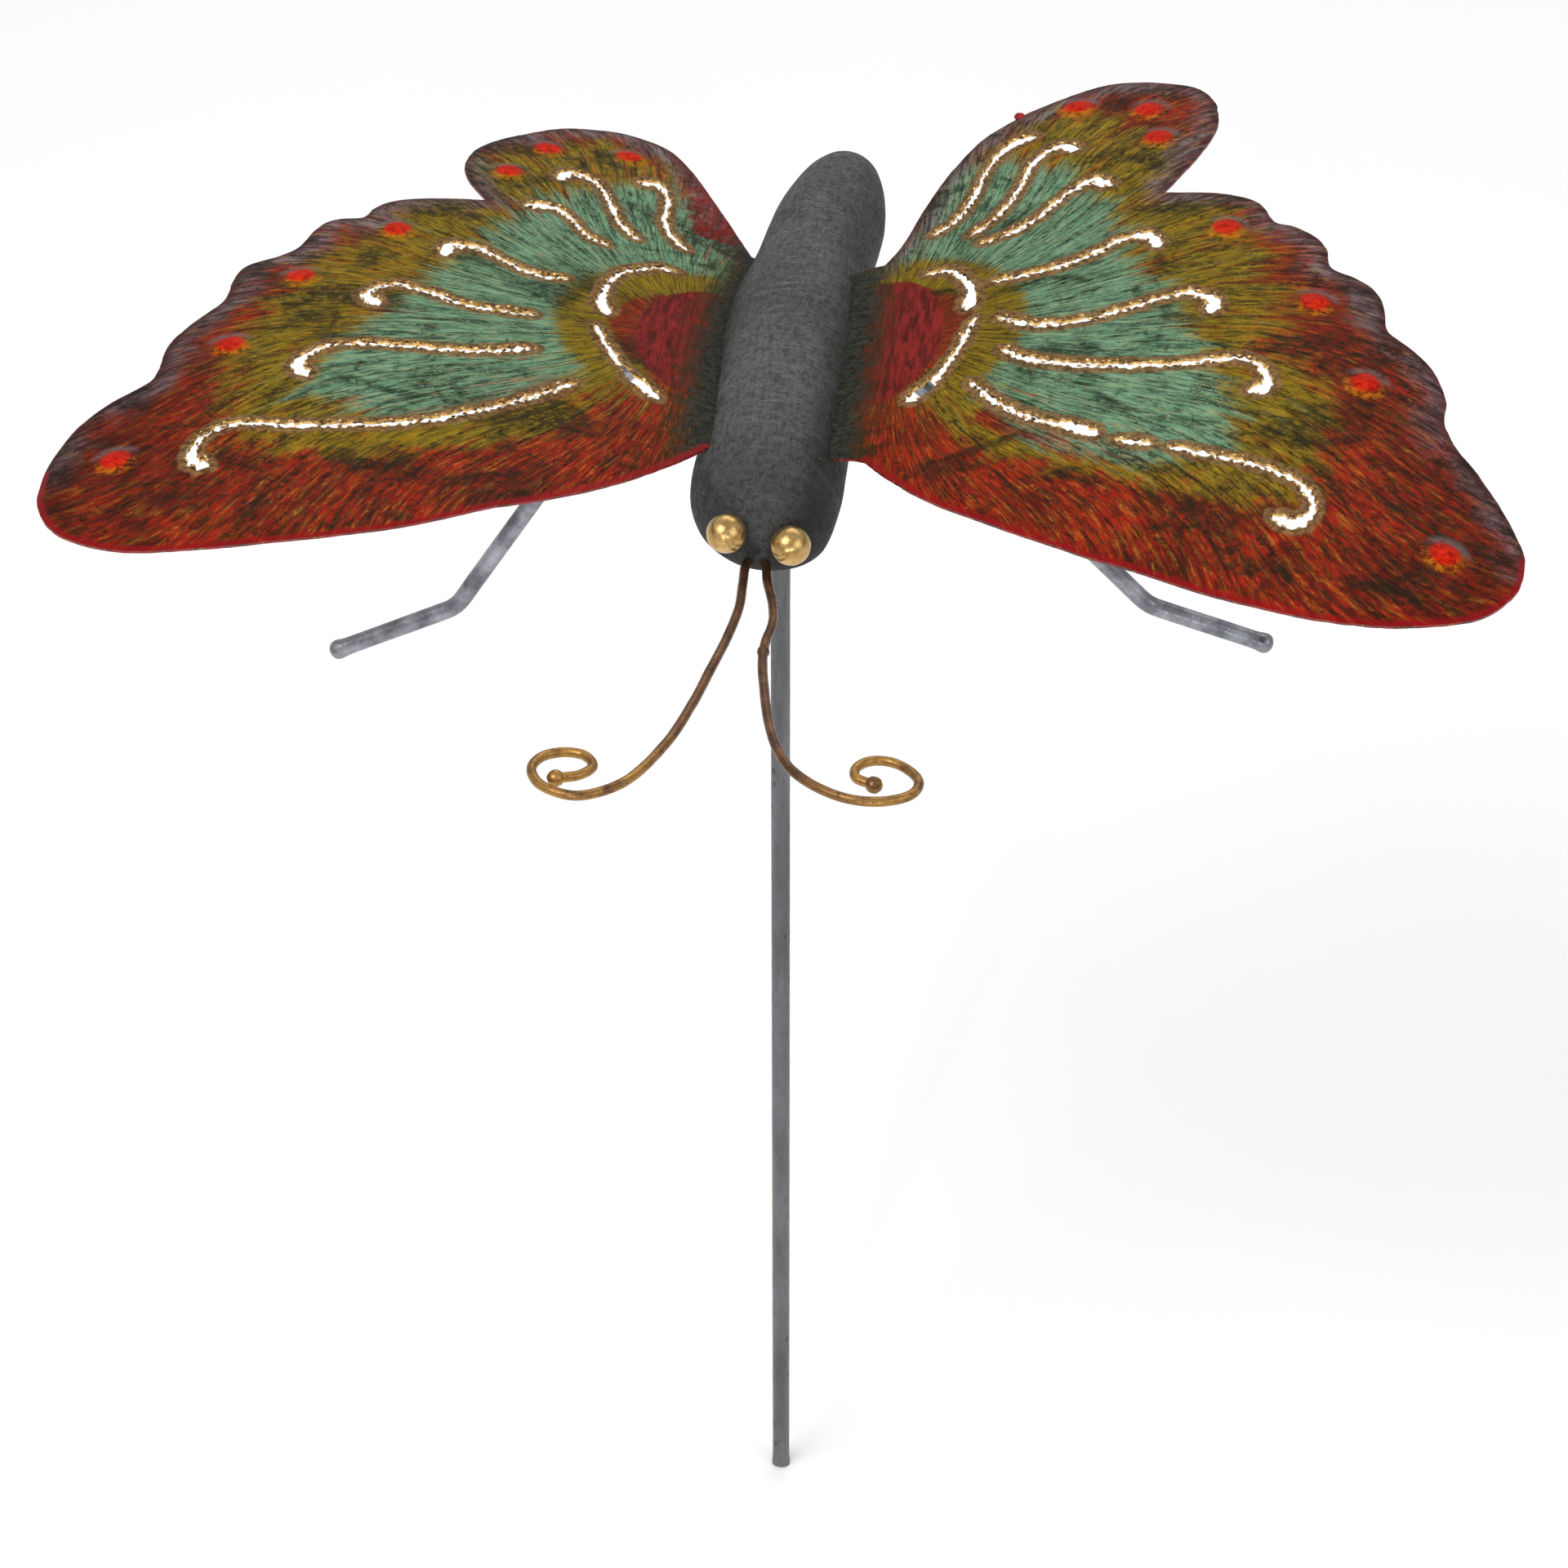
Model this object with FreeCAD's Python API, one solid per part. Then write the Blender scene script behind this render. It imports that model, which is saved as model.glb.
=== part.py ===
import FreeCAD, Part
import math
import os

os.makedirs("parts", exist_ok=True)
V = FreeCAD.Vector

# ---------------------------------------------------------------- dimensions
# millimetres. Z is up and runs along the stake, Y runs from head to tail,
# X is across the wings. The lower end of the stake is at the origin.
STAKE_R = 3.0          # 6 mm round rod
PIVOT_Z = 474.2        # centre of the rounded stake top, the point all rocking is about
SNIP = 0.7             # bevels left by the cutter on the lower end

BODY_Z = 459.8         # height of the body's long axis
SHEET = 0.8            # wall of the pressed body shells
THORAX_X = -2.3        # the body sits slightly to the left between the wings
ABDOMEN_X = -2.1       # axis of the abdomen at the turning point, Y = 84
ABDOMEN_YAW = 5.55     # degrees, the abdomen turns away to the right
BODY_CUT = 8.0         # the shells are open underneath, this far below the axis

# wing sheets: the left one is a little heavier, which brings the balance point over the stake
WING_T = {"left": 0.631, "right": 0.569}
WING_RISE = 7.0        # wing root line above the body axis
KERF = 3.0             # width of the torch cuts
DOT_R = 5.0            # raised dots along the wing edge
DOT_H = 1.4

CUP_CLEAR = 0.05       # running clearance of the cup on the stake top
GAP = 0.3              # air between the nested cups
CUP_WALL = 0.85
PAD_R = 2.5
WELD_R = 2.2           # tack welds under the wing roots
WELD_DOWN = 1.5        # weld centre below the sheet's underside
WELD_BITE = 0.8        # weld centre outside the body's skin
CUP_SKIRT = 0.1        # the cup ends just below the centre of the rounded top

EYE_R = 5.5
WIRE_R = 1.35          # feeler wire
BEAD_R = 2.3           # melted ball on each wire end
BEAD_SET = 1.2         # its centre stands this far off the end face
ARM_R = 2.75           # bent steel balance rods
ARM_BEND = 13.0        # bend radius at the rod's centre line
ARM_Y = 45.0           # the rods lie in one cross plane of the body
ARM_END_R = 3.25

# point of the butterfly's own drawing that stands over the stake
SET_X = -3.00
SET_Y = 20.74

# wing bending: root slope, its fall along the span, chord tilt and camber
WING_BEND = {
    "left": (0.35, -0.25, -0.02, -0.06, 0.0, -0.5),
    "right": (0.42, -0.25, -0.03, 0.06, 0.0, -0.5),
}

# wing outlines, seen from above (X, Y), from front root round to rear root
OUTLINE = {
    "left": [(-18.9, -20.7), (-26.1, -31.7), (-40.2, -48.6), (-56.9, -62.8), (-70.9, -71.8), (-83.8, -80.6), (-94.7, -86.9), (-106.2, -91.9), (-122.6, -97.4), (-139.7, -101.5), (-161.4, -102.9), (-174.2, -99.7), (-183.2, -94.5), (-188.9, -88.0), (-192.8, -80.1), (-193.6, -77.0), (-194.5, -66.4), (-194.1, -60.1), (-190.6, -45.1), (-184.2, -34.1), (-174.6, -23.4), (-173.7, -18.3), (-173.9, -3.3), (-167.2, 13.1), (-163.9, 19.4), (-163.2, 27.2), (-163.6, 30.8), (-161.8, 41.3), (-152.6, 48.1), (-148.5, 52.9), (-145.9, 63.8), (-143.4, 69.5), (-139.7, 71.9), (-133.1, 73.5), (-131.4, 79.5), (-127.7, 84.7), (-118.9, 89.0), (-100.0, 93.0), (-108.1, 107.7), (-110.7, 117.6), (-110.1, 128.7), (-106.1, 137.7), (-93.2, 152.0), (-84.5, 159.0), (-72.1, 162.5), (-66.7, 162.6), (-57.8, 159.8), (-51.7, 154.9), (-45.6, 145.9), (-33.8, 122.7), (-19.9, 94.2), (-3.0, 88.0), (-3.0, -14.0)],
    "right": [(25.3, -23.7), (33.5, -34.3), (43.3, -44.9), (66.3, -62.0), (88.5, -75.2), (99.4, -80.2), (121.2, -89.7), (143.1, -95.7), (155.2, -96.8), (170.1, -95.5), (188.2, -89.3), (194.8, -84.7), (201.2, -75.8), (203.0, -70.9), (204.0, -63.2), (202.9, -57.4), (199.1, -47.3), (190.6, -30.6), (186.0, -23.9), (182.9, -15.9), (182.7, -10.3), (183.2, -5.6), (179.7, 7.6), (174.9, 14.8), (167.2, 22.7), (166.3, 26.0), (166.3, 29.9), (165.4, 36.5), (164.0, 40.2), (162.1, 43.1), (158.0, 46.7), (151.0, 51.2), (150.0, 55.7), (149.8, 59.9), (146.9, 66.0), (139.8, 71.7), (134.6, 73.4), (131.2, 81.3), (128.5, 84.8), (119.7, 88.7), (102.2, 90.8), (111.5, 111.3), (116.6, 128.8), (116.5, 140.2), (115.7, 145.3), (109.8, 155.9), (94.9, 162.3), (85.0, 163.7), (78.1, 161.8), (58.6, 149.5), (53.3, 144.3), (45.5, 135.4), (38.0, 120.2), (31.9, 101.3), (26.4, 80.6), (22.2, 72.1), (3.0, 70.0), (3.0, -14.0)],
}

# centre lines of the torch cuts
CUTS = {
    "left": [
        [(-57.5, -6.5), (-70.0, -20.1), (-83.7, -31.3), (-100.2, -41.2), (-127.0, -46.3), (-148.0, -47.8), (-154.0, -56.4), (-153.1, -64.1), (-148.5, -67.0)],
        [(-70.8, 6.9), (-88.7, -1.0), (-117.0, -3.0), (-129.0, -7.0), (-134.0, -15.9), (-130.5, -22.0)],
        [(-73.9, 25.0), (-93.1, 24.0), (-105.8, 29.5), (-116.9, 31.5), (-122.6, 25.0), (-118.0, 18.5)],
        [(-68.4, 49.5), (-78.0, 48.5), (-88.5, 54.3), (-96.9, 59.3), (-104.5, 58.6), (-105.0, 52.0)],
        [(-60.7, 75.0), (-67.4, 79.0), (-72.8, 87.7), (-79.5, 93.6), (-88.0, 92.6)],
        [(-52.4, 83.5), (-58.7, 91.0), (-64.9, 107.1), (-71.5, 118.5), (-78.4, 121.6), (-81.5, 115.0)],
        [(-38.1, 84.7), (-43.6, 91.5), (-47.3, 103.4), (-48.6, 117.1), (-52.4, 125.6), (-58.6, 124.6)],
        [(-38.3, 69.3), (-43.0, 69.4), (-49.7, 65.0), (-54.8, 59.0), (-57.1, 50.5), (-56.9, 40.0), (-54.6, 34.0)],
        [(-56.8, 26.5), (-53.8, 19.5), (-48.6, 10.2), (-42.7, 2.5), (-35.0, -4.4)],
    ],
    "right": [
        [(52.4, 2.2), (61.0, -9.4), (71.0, -18.1), (80.0, -22.8), (89.0, -28.0)],
        [(94.0, -30.6), (104.0, -33.0)],
        [(108.6, -34.4), (120.5, -37.6), (131.6, -40.6), (141.3, -45.6), (147.0, -52.5), (147.0, -59.4), (142.0, -63.8), (137.4, -60.5)],
        [(59.9, 15.4), (67.6, 9.3), (80.0, 4.5), (101.9, 1.4), (117.5, 2.6), (128.0, 3.9), (133.2, -1.0), (133.8, -7.5), (129.2, -10.4)],
        [(58.0, 31.6), (67.0, 25.9), (76.6, 24.4), (88.0, 26.1), (101.0, 31.6), (112.0, 34.6), (118.6, 30.4), (117.0, 25.2)],
        [(55.1, 50.1), (65.7, 51.0), (76.3, 53.9), (84.0, 58.4), (92.3, 64.7), (99.3, 64.5), (101.6, 58.6)],
        [(50.0, 71.8), (58.6, 75.1), (66.3, 82.8), (74.0, 93.4), (81.4, 99.6), (86.6, 95.0)],
        [(46.8, 77.1), (54.6, 87.7), (60.0, 102.8), (63.2, 115.3), (70.0, 122.8), (76.2, 119.0)],
        [(35.7, 81.5), (42.3, 89.5), (46.6, 101.8), (48.9, 115.2), (53.9, 126.4), (62.1, 132.1)],
        [(34.9, 60.4), (41.5, 60.0), (46.4, 54.0), (49.2, 46.8), (48.9, 37.5)],
        [(51.5, 32.7), (49.5, 25.7), (47.4, 18.0), (44.4, 10.5), (40.8, 3.8), (35.4, -2.0)],
    ],
}

DOTS = {
    "left": [(-121.6, 65.8), (-143.7, 33.6), (-155.6, -5.7), (-175.1, -62.7), (-96.8, 115.7), (-88.2, 137.0), (-63.6, 142.6)],
    "right": [(74.0, 148.4), (95.7, 141.9), (99.3, 123.1), (120.7, 68.6), (146.6, 32.1), (160.8, -3.0), (182.4, -67.6)],
}

# body profiles: (distance along Y, outer radius)
THORAX = [(70.0, 19.9), (66.0, 20.8), (60.0, 21.4), (50.0, 21.8), (35.0, 22.0), (20.0, 21.7), (1.4, 21.2), (-10.0, 21.2), (-18.4, 21.3), (-28.0, 20.4), (-36.0, 17.6), (-42.8, 12.6), (-46.6, 6.6), (-47.8, 0.0)]
ABDOMEN = [(62.0, 18.6), (75.0, 18.2), (88.0, 17.6), (100.0, 17.3), (112.0, 17.1), (121.0, 16.6), (132.0, 14.9), (141.0, 12.4), (148.0, 9.4), (152.6, 5.6), (154.8, 0.0)]

# feeler wire centre line, heights from the body axis
FEELER_L = [(-39.0, -159.2, 8.1), (-34.4, -157.4, 7.9), (-31.6, -152.9, 7.3), (-34.6, -148.2, 6.8), (-39.9, -147.4, 6.7), (-44.9, -150.0, 7.0), (-46.9, -155.8, 7.7), (-43.4, -163.0, 8.5), (-34.0, -166.8, 9.0), (-23.6, -160.2, 8.2), (-14.8, -140.7, 5.9), (-10.3, -120.0, 3.4), (-7.7, -102.6, 1.3), (-5.4, -86.5, -0.6), (-4.1, -69.5, -2.9), (-4.6, -56.9, -4.2)]
HOOK = [(-4.6, -47.5, -4.8), (-2.2, -43.6, -4.8), (0.2, -46.8, -4.8)]
FEELER_R = [(2.0, -56.0, -4.2), (4.6, -66.5, -3.2), (5.9, -77.4, -1.7), (5.1, -87.0, -0.6), (5.3, -95.7, 0.4), (7.2, -109.3, 2.1), (10.5, -126.8, 4.2), (13.9, -138.5, 5.6), (18.8, -148.2, 6.8), (26.6, -155.6, 7.6), (35.4, -159.6, 8.1), (44.0, -159.3, 8.1), (50.1, -155.4, 7.7), (51.4, -149.7, 7.0), (48.2, -144.3, 6.3), (43.3, -141.2, 5.9), (38.1, -141.5, 5.9), (34.9, -145.2, 6.3), (35.5, -149.8, 7.0), (39.1, -151.8, 7.2)]

EYES = {"left": (-10.1, -48.8, 6.0), "right": (7.8, -50.0, 4.2)}

# balance rods in their cross plane: (X, height from the body axis)
ARM = {
    "left": [(-16.0, -2.5), (-48.1, -2.5), (-106.7, -99.2), (-145.5, -119.6)],
    "right": [(14.0, -2.5), (32.6, -2.5), (106.2, -80.5), (142.4, -92.1)],
}


# ---------------------------------------------------------------- helpers
def place(shape):
    """Moves a butterfly piece from its own drawing onto the stake."""
    s = shape.copy()
    s.translate(V(-SET_X, -SET_Y, 0))
    return s


def biggest(shape):
    return sorted(shape.Solids, key=lambda s: -s.Volume)[0]


def save(shape, node):
    shape.exportStep("parts/%s.step" % node)


def lay(shape, part):
    """Turns a piece drawn on X = 0 onto the axis of the thorax or the abdomen."""
    if part == "thorax":
        shape.translate(V(THORAX_X, 0, BODY_Z))
    else:
        shape.translate(V(ABDOMEN_X, 0, BODY_Z))
        shape.rotate(V(ABDOMEN_X, 84.0, 0), V(0, 0, 1), -ABDOMEN_YAW)
    return shape


def turned(profile, part, shrink=0.0):
    """Solid of revolution about the body axis from (Y, radius) points."""
    pts = []
    n = len(profile)
    for i, (y, r) in enumerate(profile):
        if shrink:
            a = profile[max(i - 1, 0)]
            b = profile[min(i + 1, n - 1)]
            dy, dr = b[0] - a[0], b[1] - a[1]
            if i == n - 1:
                dy, dr = 0.0, -1.0
            ln = math.hypot(dy, dr)
            ny, nr = dr / ln, -dy / ln
            if nr < 0 or (nr == 0 and ny * (y - 40.0) < 0):
                ny, nr = -ny, -nr
            y2, r2 = y - shrink * ny, r - shrink * nr
            if i == n - 1:
                y2, r2 = y - shrink * (1 if y > 40.0 else -1), 0.0
            pts.append((y2, max(r2, 0.0)))
        else:
            pts.append((y, r))
    vs = [V(0, y, r) for y, r in pts]
    curve = Part.BSplineCurve()
    curve.interpolate(vs)
    e1 = curve.toShape()
    e2 = Part.makeLine(vs[-1], V(0, vs[0].y, 0))
    e3 = Part.makeLine(V(0, vs[0].y, 0), vs[0])
    face = Part.Face(Part.Wire([e1, e2, e3]))
    solid = face.revolve(V(0, 0, 0), V(0, 1, 0), 360)
    if solid.ShapeType != "Solid":
        solid = Part.Solid(solid.Shells[0]) if solid.Shells else solid.Solids[0]
    if solid.Volume < 0:
        solid.reverse()
    return lay(solid, part)


def wing_point(side, s, t):
    d0, d1, d2, t0, t1, k = WING_BEND[side]
    n = 24
    x = z = 0.0
    for i in range(n):
        q = s * (i + 0.5) / n
        th = d0 + d1 * q / 100 + d2 * (q / 100) ** 2
        x += math.cos(th) * s / n
        z += math.sin(th) * s / n
    tau = t0 + t1 * s / 100
    z += t * math.sin(tau) + k * (t / 100) ** 2 * 10
    sg = -1 if side == "left" else 1
    return V(sg * x, t * math.cos(tau), BODY_Z + WING_RISE + z)


def wing_height(side, x, y):
    s, t = abs(x), y
    for i in range(20):
        p = wing_point(side, s, t)
        s += (abs(x) - abs(p.x))
        t += (y - p.y)
    return wing_point(side, s, t)


def ribbon(points, width):
    """Closed flat wire of even width along a smooth centre line, round ended."""
    c = Part.BSplineCurve()
    c.interpolate([V(x, y, 0) for x, y in points])
    n = 4 * len(points)
    a, b = c.FirstParameter, c.LastParameter
    h = width / 2.0
    left, right = [], []
    for i in range(n + 1):
        u = a + (b - a) * i / n
        p = c.value(u)
        d = c.tangent(u)[0]
        nrm = V(-d.y, d.x, 0)
        left.append(p + nrm * h)
        right.append(p - nrm * h)
    t0 = c.tangent(a)[0]
    t1 = c.tangent(b)[0]
    lc = Part.BSplineCurve()
    lc.interpolate(left)
    rc = Part.BSplineCurve()
    rc.interpolate(right[::-1])
    cap1 = Part.Arc(left[-1], c.value(b) + t1 * h, right[-1]).toShape()
    cap0 = Part.Arc(right[0], c.value(a) - t0 * h, left[0]).toShape()
    return Part.Wire([lc.toShape(), cap1, rc.toShape(), cap0])


def tube_along(path, radius):
    e = path.Edges[0]
    p = e.valueAt(e.FirstParameter)
    d = e.tangentAt(e.FirstParameter)
    circle = Part.Wire(Part.makeCircle(radius, p, d))
    return path.makePipeShell([circle], True, False)


def arc_wire(pts, radius):
    """Round wire bent through points as a chain of tangent arcs, two to each span."""
    c = Part.BSplineCurve()
    c.interpolate(pts)
    tan = []
    for p in pts:
        tan.append(V(c.tangent(c.parameter(p))[0]).normalize())
    pieces = []
    for i in range(len(pts) - 1):
        p1, p2, t1, t2 = pts[i], pts[i + 1], tan[i], tan[i + 1]
        v = p2 - p1
        t = t1 + t2
        k = 2 * (1 - t1.dot(t2))
        vt = v.dot(t)
        if k < 1e-9:
            d = v.dot(v) / (2 * vt)
        else:
            d = (-vt + math.sqrt(vt * vt + k * v.dot(v))) / k
        q1, q2 = p1 + t1 * d, p2 - t2 * d
        pm = (q1 + q2) * 0.5
        for a, q, b in ((p1, q1, pm), (pm, q2, p2)):
            u = (q - a).normalize()
            w = (b - q).normalize()
            disc = Part.Face(Part.Wire(Part.makeCircle(radius, a, u)))
            turn = math.acos(max(-1, min(1, u.dot(w))))
            if turn < 1e-3:
                pieces.append(disc.extrude(b - a))
                continue
            axis = u.cross(w).normalize()
            rad = (q - a).Length / math.tan(turn / 2)
            mid = a + axis.cross(u) * rad
            pieces.append(disc.revolve(mid, axis, math.degrees(turn)))
    return pieces[0].multiFuse(pieces[1:]).removeSplitter()


def bent_path(pts, radius):
    """Straight runs joined by arcs of one bend radius."""
    edges = []
    start = pts[0]
    for i in range(1, len(pts) - 1):
        p, q, r = pts[i - 1], pts[i], pts[i + 1]
        u = (p - q).normalize()
        w = (r - q).normalize()
        half = math.acos(max(-1, min(1, u.dot(w)))) / 2
        cut = radius / math.tan(half)
        a = q + u * cut
        b = q + w * cut
        bis = (u + w).normalize()
        centre = q + bis * (radius / math.sin(half))
        mid = centre - bis * radius
        edges.append(Part.makeLine(start, a))
        edges.append(Part.Arc(a, mid, b).toShape())
        start = b
    edges.append(Part.makeLine(start, pts[-1]))
    return Part.Wire(edges)


# ---------------------------------------------------------------- stake
stake = Part.makeCylinder(STAKE_R, PIVOT_Z)
stake = stake.fuse(Part.makeSphere(STAKE_R, V(0, 0, PIVOT_Z))).removeSplitter()
for ang in (0, 180):
    w = Part.makeBox(20, 20, 4, V(-10, 0, -4))
    w.rotate(V(0, 0, 0), V(1, 0, 0), 25)
    w.translate(V(0, STAKE_R - SNIP / math.tan(math.radians(25)), 0))
    w.rotate(V(0, 0, 0), V(0, 0, 1), ang)
    stake = stake.cut(w)
stake = biggest(stake)
save(stake, "ground_stake")

# ---------------------------------------------------------------- nested cups
centre = V(0, 0, PIVOT_Z)


def cup(r_in, r_out, down):
    s = Part.makeSphere(r_out, centre).cut(Part.makeSphere(r_in, centre))
    s = s.cut(Part.makeBox(40, 40, 40, V(-20, -20, PIVOT_Z - down - 40)))
    return s


r1 = STAKE_R + CUP_CLEAR
pivot_cup = cup(r1, r1 + CUP_WALL, CUP_SKIRT).cut(Part.makeCylinder(r1, 10, V(0, 0, PIVOT_Z - 10)))
pivot_cup = biggest(pivot_cup)
save(pivot_cup, "pivot_cup")

r2 = r1 + CUP_WALL + GAP
saddle = biggest(cup(r2, r2 + CUP_WALL, 0.0))
save(saddle, "rocker_saddle")

r3 = r2 + CUP_WALL + GAP

# ---------------------------------------------------------------- body shells
thorax_out = turned(THORAX, "thorax")
thorax_in = turned(THORAX, "thorax", SHEET)
abdomen_out = turned(ABDOMEN, "abdomen")
abdomen_in = turned(ABDOMEN, "abdomen", SHEET)
# the inner tools run past the open rims
rim_t = Part.makeCylinder(THORAX[0][1] - SHEET, 6, V(0, THORAX[0][0] - 0.5, 0), V(0, 1, 0))
rim_a = Part.makeCylinder(ABDOMEN[0][1] - SHEET, 6, V(0, ABDOMEN[0][0] - 5.5, 0), V(0, 1, 0))
lay(rim_t, "thorax")
lay(rim_a, "abdomen")
below = Part.makeBox(200, 400, 60, V(-100, -150, BODY_Z - BODY_CUT - 60))

abdomen = abdomen_out.cut(abdomen_in).cut(rim_a).cut(below)
abdomen = biggest(abdomen)
thorax = thorax_out.cut(thorax_in).cut(rim_t).cut(abdomen_out).cut(below)
thorax = biggest(thorax)

# ---------------------------------------------------------------- feeler wire
wire_pts = [V(x, y, BODY_Z + z) for x, y, z in FEELER_L + HOOK + FEELER_R]
feeler = biggest(arc_wire(wire_pts, WIRE_R))
thorax = biggest(thorax.cut(feeler))
# the melted ball sits on the wire's end face: drawn upright on its flat, then turned
curve = Part.BSplineCurve()
curve.interpolate(wire_pts)
tips = {}
for side, p, sg in (("left", wire_pts[0], -1), ("right", wire_pts[-1], 1)):
    run = V(curve.tangent(curve.parameter(p))[0]).normalize() * sg
    ball = Part.makeSphere(BEAD_R, V(0, 0, BEAD_SET)).cut(Part.makeBox(10, 10, 10, V(-5, -5, -10)))
    ball = biggest(ball)
    ball.Placement = FreeCAD.Placement(p, FreeCAD.Rotation(V(0, 0, 1), run))
    tips[side] = ball

# ---------------------------------------------------------------- seat under the roof
seat_at = V(SET_X, SET_Y, PIVOT_Z)
seat = Part.makeSphere(r3 + CUP_WALL, seat_at)
seat = seat.fuse(Part.makeCylinder(PAD_R, 30, seat_at))
seat = seat.common(thorax_in).cut(Part.makeSphere(r3, seat_at))
seat = seat.cut(Part.makeBox(40, 40, 40, seat_at - V(20, 20, 40)))
seat = biggest(seat)

# ---------------------------------------------------------------- wings
wings = {}
for side in ("left", "right"):
    rows = []
    ss = [-6.0 + 258.0 * i / 13 for i in range(14)]
    ts = [-130.0 + 320.0 * j / 12 for j in range(13)]
    for s in ss:
        rows.append([wing_point(side, s, t) for t in ts])
    surf = Part.BSplineSurface()
    surf.interpolate(rows)
    slab = surf.toShape().extrude(V(0, 0, -WING_T[side]))
    pts = [V(x, y, BODY_Z - 150) for x, y in OUTLINE[side]]
    blank = Part.Face(Part.makePolygon(pts + [pts[0]])).extrude(V(0, 0, 300))
    w = biggest(slab.common(blank))
    tools = []
    for line in CUTS[side]:
        r = ribbon(line, KERF)
        r.translate(V(0, 0, BODY_Z - 150))
        tools.append(Part.Face(r).extrude(V(0, 0, 300)))
    for t in tools:
        w = w.cut(t)
    w = w.cut(thorax_out).cut(abdomen_out)
    w = biggest(w)
    # raised dots: shallow domes on the top face
    big = (DOT_R ** 2 + DOT_H ** 2) / (2 * DOT_H)
    for x, y in DOTS[side]:
        p = wing_height(side, x, y)
        px = wing_height(side, x + 1, y) - p
        py = wing_height(side, x, y + 1) - p
        nrm = px.cross(py).normalize()
        ball = Part.makeSphere(big, p - nrm * (big - DOT_H))
        plug = Part.makeCylinder(DOT_R + 0.2, DOT_H + 0.4, p - nrm * 0.3, nrm)
        w = w.fuse(ball.common(plug))
    w = biggest(w)
    if w.Volume < 0:
        w.reverse()
    wings[side] = w
    print(side, "wing", round(w.Volume), w.isValid())

# ---------------------------------------------------------------- eyes
eyes = {}
for side, (x, y, z) in EYES.items():
    ball = Part.makeSphere(EYE_R, V(x, y, BODY_Z + z))
    eyes[side] = biggest(ball.cut(thorax_out))

# ---------------------------------------------------------------- balance rods
arms, ends = {}, {}
for side, line in ARM.items():
    pts = [V(x, ARM_Y, BODY_Z + z) for x, z in line]
    rod = biggest(tube_along(bent_path(pts, ARM_BEND), ARM_R))
    rod = biggest(rod.cut(thorax_out))
    run = (pts[-1] - pts[-2]).normalize()
    # rounded end, swelled where the rod was cropped: drawn upright, then laid along the rod
    end = Part.makeSphere(ARM_END_R, V(0, 0, -0.8)).cut(Part.makeCylinder(ARM_R, 20, V(0, 0, -20)))
    end = biggest(end)
    turn = FreeCAD.Rotation(V(0, 0, 1), run)
    end.Placement = FreeCAD.Placement(pts[-1], turn)
    arms[side] = rod
    ends[side] = end

# ---------------------------------------------------------------- weld beads
def bead(node, p, r, solids):
    b = Part.makeSphere(r, p)
    for s in solids:
        b = b.cut(s)
    b = biggest(b)
    save(place(b), node)
    return b


def radius_of(profile, y):
    """Outer radius of a body profile at y."""
    rows = sorted(profile)
    for (a, ra), (b, rb) in zip(rows, rows[1:]):
        if a <= y <= b:
            return ra + (rb - ra) * (y - a) / (b - a)
    return 0.0


all_out = [thorax_out, abdomen_out]
for side, sg in (("left", -1), ("right", 1)):
    fy, ry = (-14.0, 78.0) if side == "left" else (-8.0, 60.0)
    for end, y in (("front", fy), ("rear", ry)):
        rear_left = y > 70.0
        mid = ABDOMEN_X if rear_left else THORAX_X
        reach = radius_of(ABDOMEN if rear_left else THORAX, y) + WELD_BITE
        # in the corner under the sheet, where it meets the rounded skin
        x = mid + sg * 18.0
        for _ in range(4):
            z = wing_height(side, x, y).z - WING_T[side] - WELD_DOWN
            x = mid + sg * math.sqrt(max(reach ** 2 - (z - BODY_Z) ** 2, 1.0))
        bead("weld_wing_%s_%s" % (side, end), V(x, y, z), WELD_R, all_out + [wings[side]])
    p = V(THORAX_X + sg * 22.1, ARM_Y, BODY_Z - 2.5 + ARM_R + 0.3)
    bead("weld_arm_%s" % side, p, 2.7, [thorax_out, arms[side]])

# ---------------------------------------------------------------- files
save(place(seat), "seat_cup")
save(place(thorax), "thorax_shell")
save(place(abdomen), "abdomen_shell")
save(place(feeler), "antenna_wire")
for side in ("left", "right"):
    save(place(wings[side]), "wing_%s" % side)
    save(place(eyes[side]), "eye_%s" % side)
    save(place(tips[side]), "antenna_tip_%s" % side)
    save(place(arms[side]), "arm_%s" % side)
    save(place(ends[side]), "arm_end_%s" % side)

for n, s in (("stake", stake), ("cup", pivot_cup), ("saddle", saddle), ("seat", seat), ("thorax", thorax), ("abdomen", abdomen), ("feeler", feeler)):
    print(n, round(s.Volume, 1), s.isValid())
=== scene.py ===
import math
import bpy
import bmesh
import numpy as np
from mathutils import Vector, Matrix, geometry, noise


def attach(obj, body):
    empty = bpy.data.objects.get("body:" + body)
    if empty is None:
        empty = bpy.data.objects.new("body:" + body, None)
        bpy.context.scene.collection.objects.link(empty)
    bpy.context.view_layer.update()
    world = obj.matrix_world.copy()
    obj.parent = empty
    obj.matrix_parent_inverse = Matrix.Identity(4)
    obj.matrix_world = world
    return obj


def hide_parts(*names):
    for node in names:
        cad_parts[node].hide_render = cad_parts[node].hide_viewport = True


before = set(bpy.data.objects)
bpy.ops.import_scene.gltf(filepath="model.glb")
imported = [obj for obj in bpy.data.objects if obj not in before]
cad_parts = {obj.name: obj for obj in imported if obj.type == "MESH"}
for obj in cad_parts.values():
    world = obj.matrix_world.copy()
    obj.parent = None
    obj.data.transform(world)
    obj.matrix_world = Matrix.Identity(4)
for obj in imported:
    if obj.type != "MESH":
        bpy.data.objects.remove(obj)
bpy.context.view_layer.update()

MM = 0.001
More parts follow.
